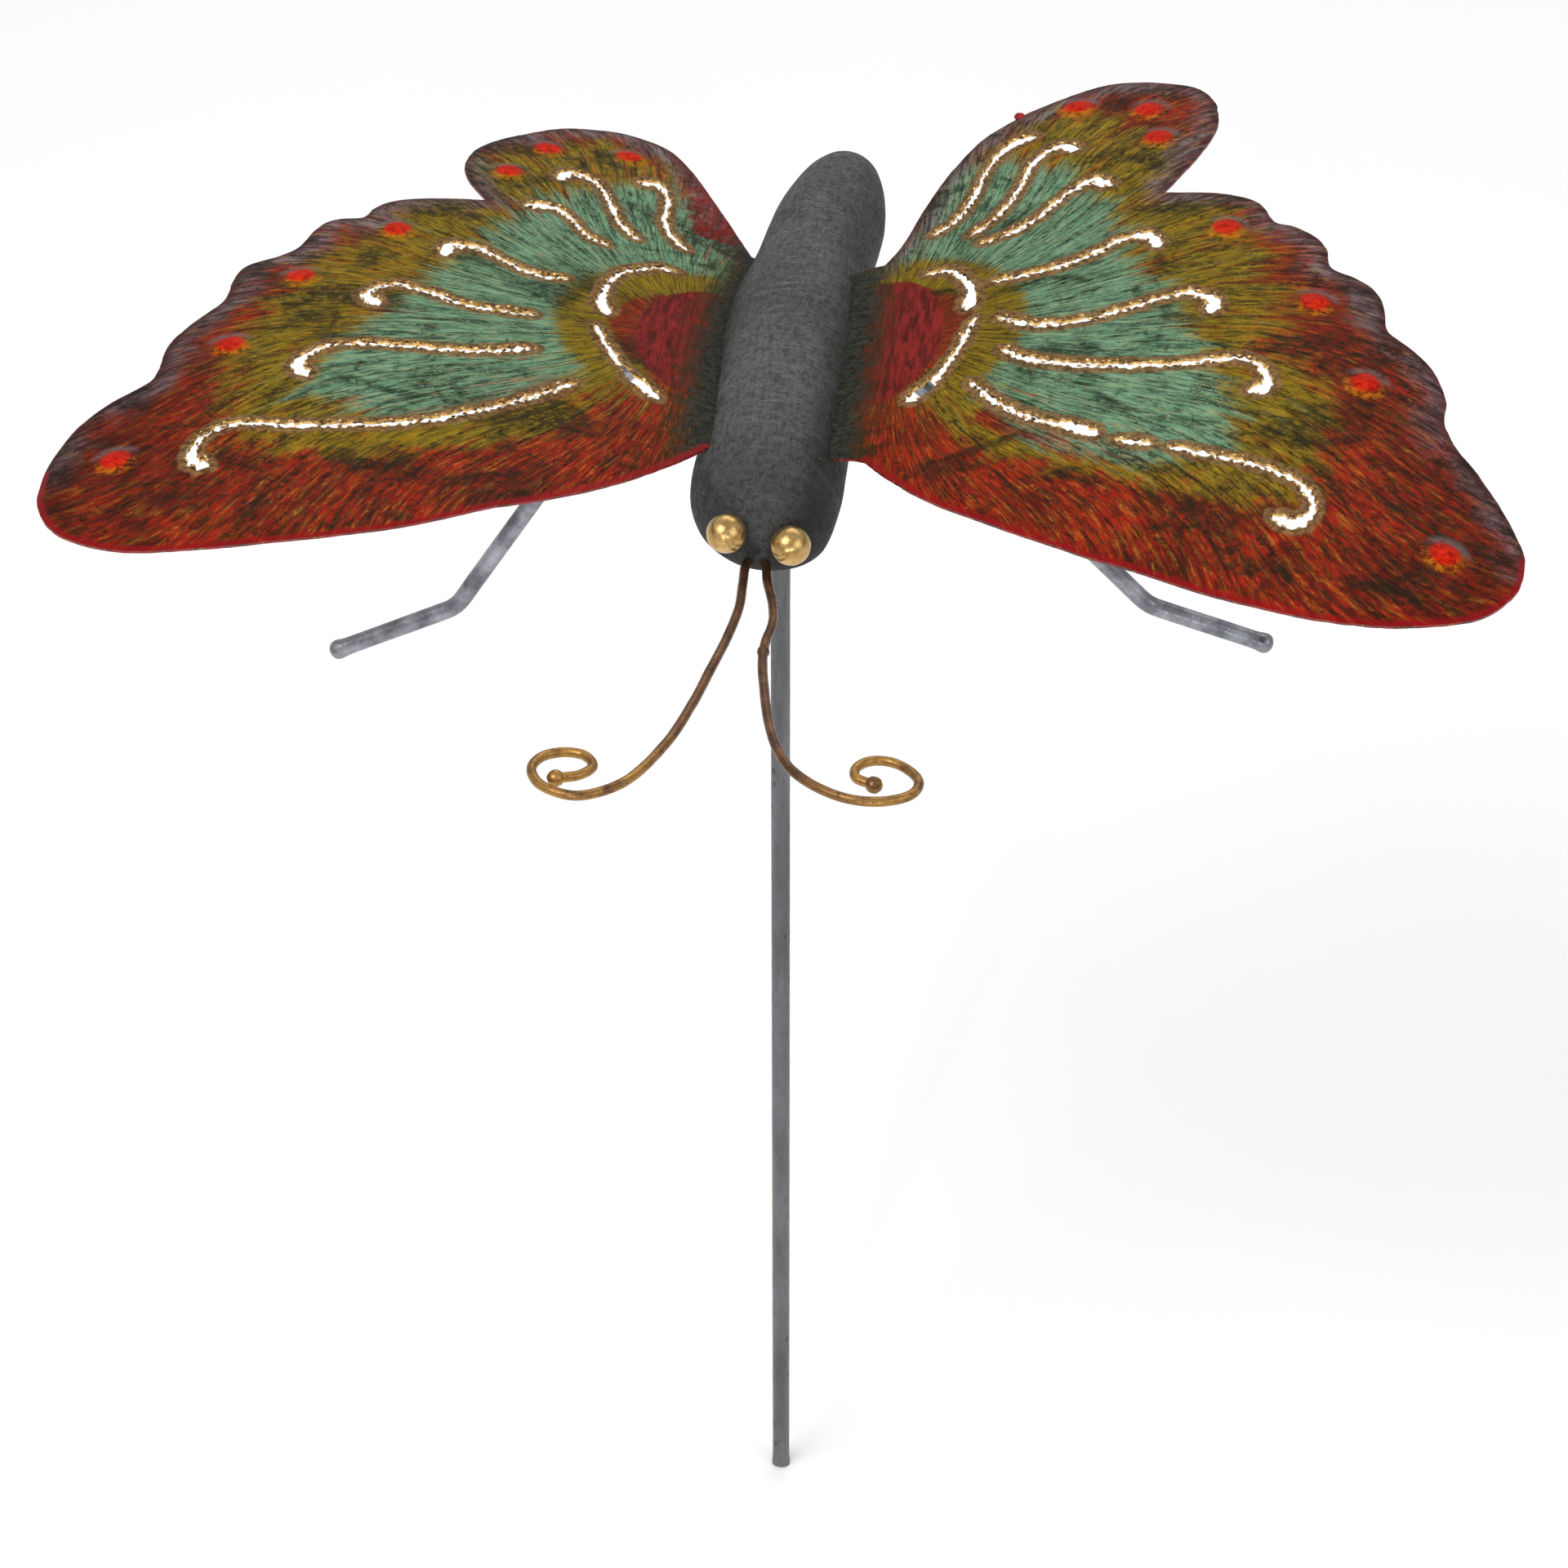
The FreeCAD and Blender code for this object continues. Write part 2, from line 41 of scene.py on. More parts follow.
rng = np.random.default_rng(7)

# ------------------------------------------------------------ the object's own numbers, mm
SET_X, SET_Y = -3.00, 20.74
BODY_Z = 459.8
PIVOT_Z = 474.2
WING_RISE = 7.0
THORAX_X = -2.3
ABDOMEN_X = -2.1
ABDOMEN_YAW = 5.55
STAKE_R = 3.0
WIRE_R = 1.35
ARM_R = 2.75
ARM_BEND = 13.0
ARM_Y = 45.0

WING_BEND = {
    "left": (0.35, -0.25, -0.02, -0.06, 0.0, -0.5),
    "right": (0.42, -0.25, -0.03, 0.06, 0.0, -0.5),
}

OUTLINE = {
    "left": [(-18.9, -20.7), (-26.1, -31.7), (-40.2, -48.6), (-56.9, -62.8), (-70.9, -71.8), (-83.8, -80.6), (-94.7, -86.9), (-106.2, -91.9), (-122.6, -97.4), (-139.7, -101.5), (-161.4, -102.9), (-174.2, -99.7), (-183.2, -94.5), (-188.9, -88.0), (-192.8, -80.1), (-193.6, -77.0), (-194.5, -66.4), (-194.1, -60.1), (-190.6, -45.1), (-184.2, -34.1), (-174.6, -23.4), (-173.7, -18.3), (-173.9, -3.3), (-167.2, 13.1), (-163.9, 19.4), (-163.2, 27.2), (-163.6, 30.8), (-161.8, 41.3), (-152.6, 48.1), (-148.5, 52.9), (-145.9, 63.8), (-143.4, 69.5), (-139.7, 71.9), (-133.1, 73.5), (-131.4, 79.5), (-127.7, 84.7), (-118.9, 89.0), (-100.0, 93.0), (-108.1, 107.7), (-110.7, 117.6), (-110.1, 128.7), (-106.1, 137.7), (-93.2, 152.0), (-84.5, 159.0), (-72.1, 162.5), (-66.7, 162.6), (-57.8, 159.8), (-51.7, 154.9), (-45.6, 145.9), (-33.8, 122.7), (-19.9, 94.2), (-3.0, 88.0), (-3.0, -14.0)],
    "right": [(25.3, -23.7), (33.5, -34.3), (43.3, -44.9), (66.3, -62.0), (88.5, -75.2), (99.4, -80.2), (121.2, -89.7), (143.1, -95.7), (155.2, -96.8), (170.1, -95.5), (188.2, -89.3), (194.8, -84.7), (201.2, -75.8), (203.0, -70.9), (204.0, -63.2), (202.9, -57.4), (199.1, -47.3), (190.6, -30.6), (186.0, -23.9), (182.9, -15.9), (182.7, -10.3), (183.2, -5.6), (179.7, 7.6), (174.9, 14.8), (167.2, 22.7), (166.3, 26.0), (166.3, 29.9), (165.4, 36.5), (164.0, 40.2), (162.1, 43.1), (158.0, 46.7), (151.0, 51.2), (150.0, 55.7), (149.8, 59.9), (146.9, 66.0), (139.8, 71.7), (134.6, 73.4), (131.2, 81.3), (128.5, 84.8), (119.7, 88.7), (102.2, 90.8), (111.5, 111.3), (116.6, 128.8), (116.5, 140.2), (115.7, 145.3), (109.8, 155.9), (94.9, 162.3), (85.0, 163.7), (78.1, 161.8), (58.6, 149.5), (53.3, 144.3), (45.5, 135.4), (38.0, 120.2), (31.9, 101.3), (26.4, 80.6), (22.2, 72.1), (3.0, 70.0), (3.0, -14.0)],
}
# index of the wing tip and of the notch between fore and hind wing in each outline
TIP = {"left": 16, "right": 14}
NOTCH = {"left": 37, "right": 40}

CUTS = {
    "left": [
        [(-57.5, -6.5), (-70.0, -20.1), (-83.7, -31.3), (-100.2, -41.2), (-127.0, -46.3), (-148.0, -47.8), (-154.0, -56.4), (-153.1, -64.1), (-148.5, -67.0)],
        [(-70.8, 6.9), (-88.7, -1.0), (-117.0, -3.0), (-129.0, -7.0), (-134.0, -15.9), (-130.5, -22.0)],
        [(-73.9, 25.0), (-93.1, 24.0), (-105.8, 29.5), (-116.9, 31.5), (-122.6, 25.0), (-118.0, 18.5)],
        [(-68.4, 49.5), (-78.0, 48.5), (-88.5, 54.3), (-96.9, 59.3), (-104.5, 58.6), (-105.0, 52.0)],
        [(-60.7, 75.0), (-67.4, 79.0), (-72.8, 87.7), (-79.5, 93.6), (-88.0, 92.6)],
        [(-52.4, 83.5), (-58.7, 91.0), (-64.9, 107.1), (-71.5, 118.5), (-78.4, 121.6), (-81.5, 115.0)],
        [(-38.1, 84.7), (-43.6, 91.5), (-47.3, 103.4), (-48.6, 117.1), (-52.4, 125.6), (-58.6, 124.6)],
        [(-38.3, 69.3), (-43.0, 69.4), (-49.7, 65.0), (-54.8, 59.0), (-57.1, 50.5), (-56.9, 40.0), (-54.6, 34.0)],
        [(-56.8, 26.5), (-53.8, 19.5), (-48.6, 10.2), (-42.7, 2.5), (-35.0, -4.4)],
    ],
    "right": [
        [(52.4, 2.2), (61.0, -9.4), (71.0, -18.1), (80.0, -22.8), (89.0, -28.0)],
        [(94.0, -30.6), (104.0, -33.0)],
        [(108.6, -34.4), (120.5, -37.6), (131.6, -40.6), (141.3, -45.6), (147.0, -52.5), (147.0, -59.4), (142.0, -63.8), (137.4, -60.5)],
        [(59.9, 15.4), (67.6, 9.3), (80.0, 4.5), (101.9, 1.4), (117.5, 2.6), (128.0, 3.9), (133.2, -1.0), (133.8, -7.5), (129.2, -10.4)],
        [(58.0, 31.6), (67.0, 25.9), (76.6, 24.4), (88.0, 26.1), (101.0, 31.6), (112.0, 34.6), (118.6, 30.4), (117.0, 25.2)],
        [(55.1, 50.1), (65.7, 51.0), (76.3, 53.9), (84.0, 58.4), (92.3, 64.7), (99.3, 64.5), (101.6, 58.6)],
        [(50.0, 71.8), (58.6, 75.1), (66.3, 82.8), (74.0, 93.4), (81.4, 99.6), (86.6, 95.0)],
        [(46.8, 77.1), (54.6, 87.7), (60.0, 102.8), (63.2, 115.3), (70.0, 122.8), (76.2, 119.0)],
        [(35.7, 81.5), (42.3, 89.5), (46.6, 101.8), (48.9, 115.2), (53.9, 126.4), (62.1, 132.1)],
        [(34.9, 60.4), (41.5, 60.0), (46.4, 54.0), (49.2, 46.8), (48.9, 37.5)],
        [(51.5, 32.7), (49.5, 25.7), (47.4, 18.0), (44.4, 10.5), (40.8, 3.8), (35.4, -2.0)],
    ],
}
DOTS = {
    "left": [(-121.6, 65.8), (-143.7, 33.6), (-155.6, -5.7), (-175.1, -62.7), (-96.8, 115.7), (-88.2, 137.0), (-63.6, 142.6)],
    "right": [(74.0, 148.4), (95.7, 141.9), (99.3, 123.1), (120.7, 68.6), (146.6, 32.1), (160.8, -3.0), (182.4, -67.6)],
}
FAN = {"left": (30.0, 32.0), "right": (27.0, 30.0)}

THORAX = [(70.0, 19.9), (66.0, 20.8), (60.0, 21.4), (50.0, 21.8), (35.0, 22.0), (20.0, 21.7), (1.4, 21.2), (-10.0, 21.2), (-18.4, 21.3), (-28.0, 20.4), (-36.0, 17.6), (-42.8, 12.6), (-46.6, 6.6), (-47.8, 0.0)]
ABDOMEN = [(62.0, 18.6), (75.0, 18.2), (88.0, 17.6), (100.0, 17.3), (112.0, 17.1), (121.0, 16.6), (132.0, 14.9), (141.0, 12.4), (148.0, 9.4), (152.6, 5.6), (154.8, 0.0)]
BODY_CUT = 8.0

FEELER_L = [(-39.0, -159.2, 8.1), (-34.4, -157.4, 7.9), (-31.6, -152.9, 7.3), (-34.6, -148.2, 6.8), (-39.9, -147.4, 6.7), (-44.9, -150.0, 7.0), (-46.9, -155.8, 7.7), (-43.4, -163.0, 8.5), (-34.0, -166.8, 9.0), (-23.6, -160.2, 8.2), (-14.8, -140.7, 5.9), (-10.3, -120.0, 3.4), (-7.7, -102.6, 1.3), (-5.4, -86.5, -0.6), (-4.1, -69.5, -2.9), (-4.6, -56.9, -4.2)]
HOOK = [(-4.6, -47.5, -4.8), (-2.2, -43.6, -4.8), (0.2, -46.8, -4.8)]
FEELER_R = [(2.0, -56.0, -4.2), (4.6, -66.5, -3.2), (5.9, -77.4, -1.7), (5.1, -87.0, -0.6), (5.3, -95.7, 0.4), (7.2, -109.3, 2.1), (10.5, -126.8, 4.2), (13.9, -138.5, 5.6), (18.8, -148.2, 6.8), (26.6, -155.6, 7.6), (35.4, -159.6, 8.1), (44.0, -159.3, 8.1), (50.1, -155.4, 7.7), (51.4, -149.7, 7.0), (48.2, -144.3, 6.3), (43.3, -141.2, 5.9), (38.1, -141.5, 5.9), (34.9, -145.2, 6.3), (35.5, -149.8, 7.0), (39.1, -151.8, 7.2)]
EYES = {"left": (-10.1, -48.8, 6.0), "right": (7.8, -50.0, 4.2)}
ARM = {
    "left": [(-16.0, -2.5), (-48.1, -2.5), (-106.7, -99.2), (-145.5, -119.6)],
    "right": [(14.0, -2.5), (32.6, -2.5), (106.2, -80.5), (142.4, -92.1)],
}


def metres(p):
    """A point of the butterfly's drawing, in mm, to the frame, in metres."""
    p = np.asarray(p, float)
    return (p - np.array([SET_X, SET_Y, 0.0])) * MM


# ------------------------------------------------------------ shader helpers
class Mat:
    def __init__(self, name):
        self.m = bpy.data.materials.new(name)
        self.m.use_nodes = True
        self.t = self.m.node_tree
        self.n = self.t.nodes
        self.bsdf = self.n["Principled BSDF"]
        self.x = 0

    def new(self, kind, **props):
        node = self.n.new(kind)
        self.x -= 40
        node.location = (self.x, 0)
        for k, v in props.items():
            setattr(node, k, v)
        return node

    def link(self, a, b):
        self.t.links.new(a, b)

    def put(self, sock, v):
        if hasattr(v, "is_linked") or hasattr(v, "links"):
            self.link(v, sock)
        else:
            sock.default_value = v

    def attr(self, name, what="Fac"):
        return self.new("ShaderNodeAttribute", attribute_name=name).outputs[what]

    def coord(self, scale=(1, 1, 1), base=None, loc=(0, 0, 0)):
        if base is None:
            base = self.new("ShaderNodeTexCoord").outputs["Object"]
        mp = self.new("ShaderNodeMapping")
        mp.inputs["Scale"].default_value = scale
        mp.inputs["Location"].default_value = loc
        self.link(base, mp.inputs["Vector"])
        return mp.outputs["Vector"]

    def noise(self, vec, scale=5.0, detail=4.0, rough=0.55, dist=0.0):
        t = self.new("ShaderNodeTexNoise")
        self.link(vec, t.inputs["Vector"])
        t.inputs["Scale"].default_value = scale
        t.inputs["Detail"].default_value = detail
        t.inputs["Roughness"].default_value = rough
        t.inputs["Distortion"].default_value = dist
        return t.outputs["Fac"]

    def voronoi(self, vec, scale=5.0, feature="F1", rand=1.0):
        t = self.new("ShaderNodeTexVoronoi", feature=feature)
        self.link(vec, t.inputs["Vector"])
        t.inputs["Scale"].default_value = scale
        t.inputs["Randomness"].default_value = rand
        return t.outputs["Distance"]

    def math(self, op, a, b=None, clamp=False):
        t = self.new("ShaderNodeMath", operation=op)
        t.use_clamp = clamp
        self.put(t.inputs[0], a)
        if b is not None:
            self.put(t.inputs[1], b)
        return t.outputs[0]

    def step(self, v, lo, hi, a=0.0, b=1.0):
        """Smooth ramp of v from lo to hi."""
        t = self.new("ShaderNodeMapRange", interpolation_type="SMOOTHSTEP")
        self.put(t.inputs["Value"], v)
        t.inputs["From Min"].default_value = lo
        t.inputs["From Max"].default_value = hi
        t.inputs["To Min"].default_value = a
        t.inputs["To Max"].default_value = b
        return t.outputs["Result"]

    def mix(self, fac, a, b, mode="MIX"):
        t = self.new("ShaderNodeMix", data_type="RGBA", blend_type=mode)
        self.put(t.inputs[0], fac)
        for s, v in ((t.inputs[6], a), (t.inputs[7], b)):
            if isinstance(v, tuple):
                s.default_value = v if len(v) == 4 else (*v, 1)
            else:
                self.link(v, s)
        return t.outputs[2]

    def mixf(self, fac, a, b):
        t = self.new("ShaderNodeMix", data_type="FLOAT")
        self.put(t.inputs[0], fac)
        self.put(t.inputs[2], a)
        self.put(t.inputs[3], b)
        return t.outputs[0]

    def bump(self, height, strength=0.3, distance=0.001, normal=None):
        t = self.new("ShaderNodeBump")
        t.inputs["Strength"].default_value = strength
        t.inputs["Distance"].default_value = distance
        self.link(height, t.inputs["Height"])
        if normal is not None:
            self.link(normal, t.inputs["Normal"])
        return t.outputs["Normal"]

    def out(self, color=None, rough=None, metal=None, normal=None, coat=None, coat_rough=None, spec=None):
        for key, v in (("Base Color", color), ("Roughness", rough), ("Metallic", metal), ("Normal", normal), ("Coat Weight", coat), ("Coat Roughness", coat_rough), ("Specular IOR Level", spec)):
            if v is None:
                continue
            s = self.bsdf.inputs[key]
            if isinstance(v, tuple):
                s.default_value = (*v, 1)
            else:
                self.put(s, v)
        return self.m


def srgb(r, g, b):
    def f(c):
        c = c / 255.0
        return c / 12.92 if c <= 0.04045 else ((c + 0.055) / 1.055) ** 2.4
    return (f(r), f(g), f(b))


# ------------------------------------------------------------ geometry helpers
def smooth_line(pts, step, closed=False):
    """Centripetal Catmull-Rom through pts, sampled about every step."""
    P = np.asarray(pts, float)
    n = len(P)
    if closed:
        Q = np.vstack([P[-1], P, P[0], P[1]])
    else:
        Q = np.vstack([2 * P[0] - P[1], P, 2 * P[-1] - P[-2]])
    out = []
    last = len(Q) - 3
    for i in range(last):
        p0, p1, p2, p3 = Q[i], Q[i + 1], Q[i + 2], Q[i + 3]
        t0 = 0.0
        t1 = t0 + max(np.linalg.norm(p1 - p0), 1e-6) ** 0.5
        t2 = t1 + max(np.linalg.norm(p2 - p1), 1e-6) ** 0.5
        t3 = t2 + max(np.linalg.norm(p3 - p2), 1e-6) ** 0.5
        k = max(2, int(round(np.linalg.norm(p2 - p1) / step)))
        for j in range(k):
            t = t1 + (t2 - t1) * j / k
            a1 = (t1 - t) / (t1 - t0) * p0 + (t - t0) / (t1 - t0) * p1
            a2 = (t2 - t) / (t2 - t1) * p1 + (t - t1) / (t2 - t1) * p2
            a3 = (t3 - t) / (t3 - t2) * p2 + (t - t2) / (t3 - t2) * p3
            b1 = (t2 - t) / (t2 - t0) * a1 + (t - t0) / (t2 - t0) * a2
            b2 = (t3 - t) / (t3 - t1) * a2 + (t - t1) / (t3 - t1) * a3
            out.append((t2 - t) / (t2 - t1) * b1 + (t - t1) / (t2 - t1) * b2)
    if not closed:
        out.append(P[-1])
    return np.array(out)


def n3(x, y, z=0.0):
    return noise.noise(Vector((x, y, z)))


def inside(poly, pts):
    """Even-odd test of many points against one polygon."""
    x, y = pts[:, 0], pts[:, 1]
    res = np.zeros(len(pts), bool)
    a = poly
    b = np.roll(poly, -1, axis=0)
    for (x1, y1), (x2, y2) in zip(a, b):
        if y1 == y2:
            continue
        c = ((y1 > y) != (y2 > y))
        xi = x1 + (y - y1) * (x2 - x1) / (y2 - y1)
        res ^= c & (x < xi)
    return res


def nearest(pts, cloud):
    """Distance from each point to the nearest of a dense cloud, and its index."""
    d = np.full(len(pts), 1e9)
    idx = np.zeros(len(pts), int)
    for s in range(0, len(pts), 2000):
        q = pts[s:s + 2000]
        m = ((q[:, None, :] - cloud[None, :, :]) ** 2).sum(-1)
        i = m.argmin(1)
        d[s:s + 2000] = np.sqrt(m[np.arange(len(q)), i])
        idx[s:s + 2000] = i
    return d, idx


def sstep(v, lo, hi):
    t = np.clip((v - lo) / (hi - lo), 0, 1)
    return t * t * (3 - 2 * t)


def mesh_object(name, verts, faces, mat, smooth=True):
    me = bpy.data.meshes.new(name)
    me.from_pydata([tuple(v) for v in verts], [], [tuple(f) for f in faces])
    me.update()
    ob = bpy.data.objects.new(name, me)
    bpy.context.scene.collection.objects.link(ob)
    me.materials.append(mat)
    if smooth:
        me.polygons.foreach_set("use_smooth", [True] * len(me.polygons))
    return ob


def float_attr(me, name, values):
    a = me.attributes.new(name, "FLOAT", "POINT")
    a.data.foreach_set("value", np.asarray(values, np.float32))


def vec_attr(me, name, values):
    a = me.attributes.new(name, "FLOAT_VECTOR", "POINT")
    a.data.foreach_set("vector", np.asarray(values, np.float32).ravel())


def sweep(name, path, radius, mat, seg=28, wobble=0.0, seed=0.0, caps=True, round_ends=0.0):
    """A round tube along a dense path in metres; radius may be a function of arc length."""
    P = np.asarray(path, float)
    T = np.gradient(P, axis=0)
    T /= np.linalg.norm(T, axis=1)[:, None]
    L = np.concatenate([[0], np.cumsum(np.linalg.norm(np.diff(P, axis=0), axis=1))])
    ref = np.array([0.0, 0.0, 1.0]) if abs(T[0][2]) < 0.9 else np.array([1.0, 0.0, 0.0])
    u = np.cross(T[0], ref)
    u /= np.linalg.norm(u)
    verts, faces = [], []
    along, around = [], []
    for i in range(len(P)):
        u = u - T[i] * u.dot(T[i])
        u /= np.linalg.norm(u)
        w = np.cross(T[i], u)
        r = radius(L[i], L[-1]) if callable(radius) else radius
        for k in range(seg):
            a = 2 * math.pi * k / seg
            rr = r
            if wobble:
                q = Vector((L[i] * 1000 / 6 + seed, math.cos(a) * 0.9, math.sin(a) * 0.9))
                q2 = Vector((L[i] * 1000 / 1.6 + seed, math.cos(a) * 2.5, math.sin(a) * 2.5))
                rr = r * (1 + wobble * noise.noise(q) + 0.35 * wobble * noise.noise(q2))
            verts.append(P[i] + (u * math.cos(a) + w * math.sin(a)) * rr)
            along.append(L[i])
            around.append(k / seg)
    n = len(P)
    for i in range(n - 1):
        for k in range(seg):
            k2 = (k + 1) % seg
            faces.append((i * seg + k, i * seg + k2, (i + 1) * seg + k2, (i + 1) * seg + k))
    if caps:
        faces.append(tuple(range(seg))[::-1])
        faces.append(tuple((n - 1) * seg + k for k in range(seg)))
    ob = mesh_object(name, verts, faces, mat)
    float_attr(ob.data, "along", along)
    return ob


def skin_profile():
    """Outer radius along the pressed body, one continuous skin with its soft step."""
    front = [(a, b) for a, b in THORAX if a <= 66.0]
    back = [(a, b) for a, b in ABDOMEN if a >= 88.0]
    return sorted(front + [(71.0, 19.9), (76.0, 19.0), (81.0, 18.2)] + back)


def body_axis(y):
    """Centre and turn of the body's section at profile station y: the abdomen bears to the right, the nose a little too."""
    t = math.radians(ABDOMEN_YAW)
    k = float(sstep(np.array(float(y)), 62.0, 90.0))
    d = y - 84.0
    x0 = THORAX_X + 2.5 * float(sstep(np.array(float(-y)), 25.0, 45.0))
    x1, y1 = ABDOMEN_X + math.sin(t) * d, 84.0 + math.cos(t) * d
    return x0 * (1 - k) + x1 * k, y * (1 - k) + y1 * k, k * t


# ------------------------------------------------------------ wing paint
def wing_material():
    m = Mat("wing_paint")

    def tone(r, g, b):
        return tuple(c * 0.80 for c in srgb(r, g, b))

    pol = m.attr("pol", "Vector")          # radius and angle from the root of the fan, mm
    pos = m.attr("flat", "Vector")         # place on the sheet, mm
    sl = m.attr("d_cut")
    ed = m.attr("d_edge")
    fr = m.attr("d_front")
    re_ = m.attr("d_rear")
    turq = m.attr("w_turq")
    must = m.attr("w_must")
    redw = m.attr("w_red")
    maro = m.attr("w_maroon")
    body = m.attr("d_body")
    dot = m.attr("d_dot")
    doty = m.attr("dot_up")
    under = m.attr("under")
    dusk = m.attr("w_dusk")

    # brush strokes run out from the root; finer ones ride on broader ones
    st1 = m.noise(m.coord((0.030, 0.45, 1), pol), 1.0, 6.0, 0.66)
    st2 = m.noise(m.coord((0.11, 1.9, 1), pol, (7, 3, 0)), 1.0, 5.0, 0.66)
    st3 = m.noise(m.coord((0.045, 1.0, 1), pol, (31, 9, 0)), 1.0, 5.0, 0.62, 0.5)
    st4 = m.noise(m.coord((0.30, 4.6, 1), pol, (13, 29, 0)), 1.0, 4.0, 0.7)
    blot = m.noise(m.coord((0.06, 0.06, 1), pos), 1.0, 7.0, 0.62, 0.4)
    blot2 = m.noise(m.coord((0.22, 0.22, 1), pos, (11, 5, 0)), 1.0, 6.0, 0.7, 0.6)
    fine = m.noise(m.coord((1.3, 1.3, 1), pos, (3, 8, 0)), 1.0, 4.0, 0.75)

    # flame-browned red, the coat everything else is laid on
    red_a = m.mix(m.step(blot2, 0.40, 0.60), tone(104, 18, 9), tone(150, 30, 11))
    red_b = m.mix(m.step(blot, 0.42, 0.62), red_a, tone(182, 34, 12))
    rust = m.mix(m.step(st3, 0.40, 0.60), tone(140, 54, 12), tone(182, 96, 18))
    base = m.mix(m.step(st2, 0.46, 0.60, 0.0, 0.7), red_b, rust)

    # mustard
    mus = m.mix(m.step(st2, 0.36, 0.62), tone(112, 92, 14), tone(172, 142, 20))
    mus = m.mix(m.step(st4, 0.50, 0.66, 0.0, 0.6), mus, tone(204, 170, 34))
    fm = m.math("ADD", must, m.math("MULTIPLY", m.math("SUBTRACT", st1, 0.5), 2.0))
    fm = m.math("ADD", fm, m.math("MULTIPLY", m.math("SUBTRACT", blot, 0.5), 1.1))
    fm = m.math("ADD", fm, m.math("MULTIPLY", m.math("SUBTRACT", st4, 0.5), 0.7))
    col = m.mix(m.step(fm, 0.18, 0.72), base, mus)

    # turquoise
    tq = m.mix(m.step(st2, 0.34, 0.62), tone(92, 140, 104), tone(142, 186, 148))
    tq = m.mix(m.step(st4, 0.52, 0.66, 0.0, 0.7), tq, tone(176, 214, 180))
    ft = m.math("ADD", turq, m.math("MULTIPLY", m.math("SUBTRACT", st1, 0.5), 2.3))
    ft = m.math("ADD", ft, m.math("MULTIPLY", m.math("SUBTRACT", st4, 0.5), 0.7))
    ft = m.math("ADD", ft, m.math("MULTIPLY", m.math("SUBTRACT", blot2, 0.5), 0.6))
    col = m.mix(m.step(ft, 0.20, 0.84), col, tq)

    # red over the leading edge and the outer field
    fred = m.math("ADD", redw, m.math("MULTIPLY", m.math("SUBTRACT", blot, 0.5), 2.0))
    fred = m.math("ADD", fred, m.math("MULTIPLY", m.math("SUBTRACT", st3, 0.5), 1.1))
    fred = m.math("ADD", fred, m.math("MULTIPLY", m.math("SUBTRACT", st4, 0.5), 0.6))
    col = m.mix(m.step(fred, 0.30, 0.86), col, base)

    # maroon inside the crescents
    fmar = m.math("ADD", maro, m.math("MULTIPLY", m.math("SUBTRACT", blot2, 0.5), 0.5))
    mar = m.mix(m.step(st2, 0.36, 0.62), tone(112, 24, 22), tone(160, 40, 38))
    col = m.mix(m.step(fmar, 0.4, 0.6), col, mar)

    # purple-grey along the scalloped rear edges: partly the paint's own tone, partly a painted sheen
    frear = m.math("ADD", re_, m.math("MULTIPLY", m.math("SUBTRACT", blot, 0.5), 22.0))
    frear = m.math("ADD", frear, m.math("MULTIPLY", m.math("SUBTRACT", st2, 0.5), 8.0))
    rim_paint_and_sheen = m.mix(m.step(st1, 0.38, 0.62), tone(98, 70, 72), tone(146, 132, 138))
    col = m.mix(m.step(frear, 12.0, 2.0, 0.0, 0.85), col, rim_paint_and_sheen)
    col = m.mix(m.step(re_, 4.0, 0.6, 0.0, 0.6), col, tone(96, 24, 34))

    # green-black streaks and mottles of the scorched steel
    dk = m.math("MULTIPLY", m.step(st2, 0.49, 0.60), m.step(st1, 0.40, 0.58))
    col = m.mix(m.math("MULTIPLY", dk, 0.72), col, tone(34, 38, 20))
    dk4 = m.math("MULTIPLY", m.step(st4, 0.50, 0.60), m.step(blot2, 0.36, 0.56))
    col = m.mix(m.math("MULTIPLY", dk4, 0.62), col, tone(38, 40, 24))
    dk2 = m.math("MULTIPLY", m.step(blot2, 0.55, 0.66), m.step(st3, 0.40, 0.56))
    col = m.mix(m.math("MULTIPLY", dk2, 0.8), col, tone(30, 32, 18))
    dk3 = m.math("MULTIPLY", m.step(blot, 0.54, 0.68), m.step(fine, 0.44, 0.56))
    col = m.mix(m.math("MULTIPLY", dk3, 0.7), col, tone(38, 26, 14))

    # hard brush marks a millimetre or two wide, dark and light, all the way out along the sheet
    st5 = m.noise(m.coord((0.11, 1.45, 1), pol, (3, 41, 0)), 1.0, 4.0, 0.7, 0.5)
    st6 = m.noise(m.coord((0.045, 0.60, 1), pol, (23, 17, 0)), 1.0, 5.0, 0.72, 0.6)
    flake = m.noise(m.coord((0.42, 0.60, 1), pos, (19, 2, 0)), 1.0, 5.0, 0.78, 0.8)
    col = m.mix(m.step(st5, 0.50, 0.41, 0.0, 0.64), col, tone(26, 27, 12))
    col = m.mix(m.math("MULTIPLY", m.step(st6, 0.49, 0.40), m.step(flake, 0.60, 0.42, 0.15, 0.85)), col, tone(26, 22, 12))
    lite = m.math("MULTIPLY", m.step(st5, 0.55, 0.66), m.step(flake, 0.40, 0.58, 0.15, 1.0))
    col = m.mix(m.math("MULTIPLY", lite, 0.34), col, tone(226, 170, 60))
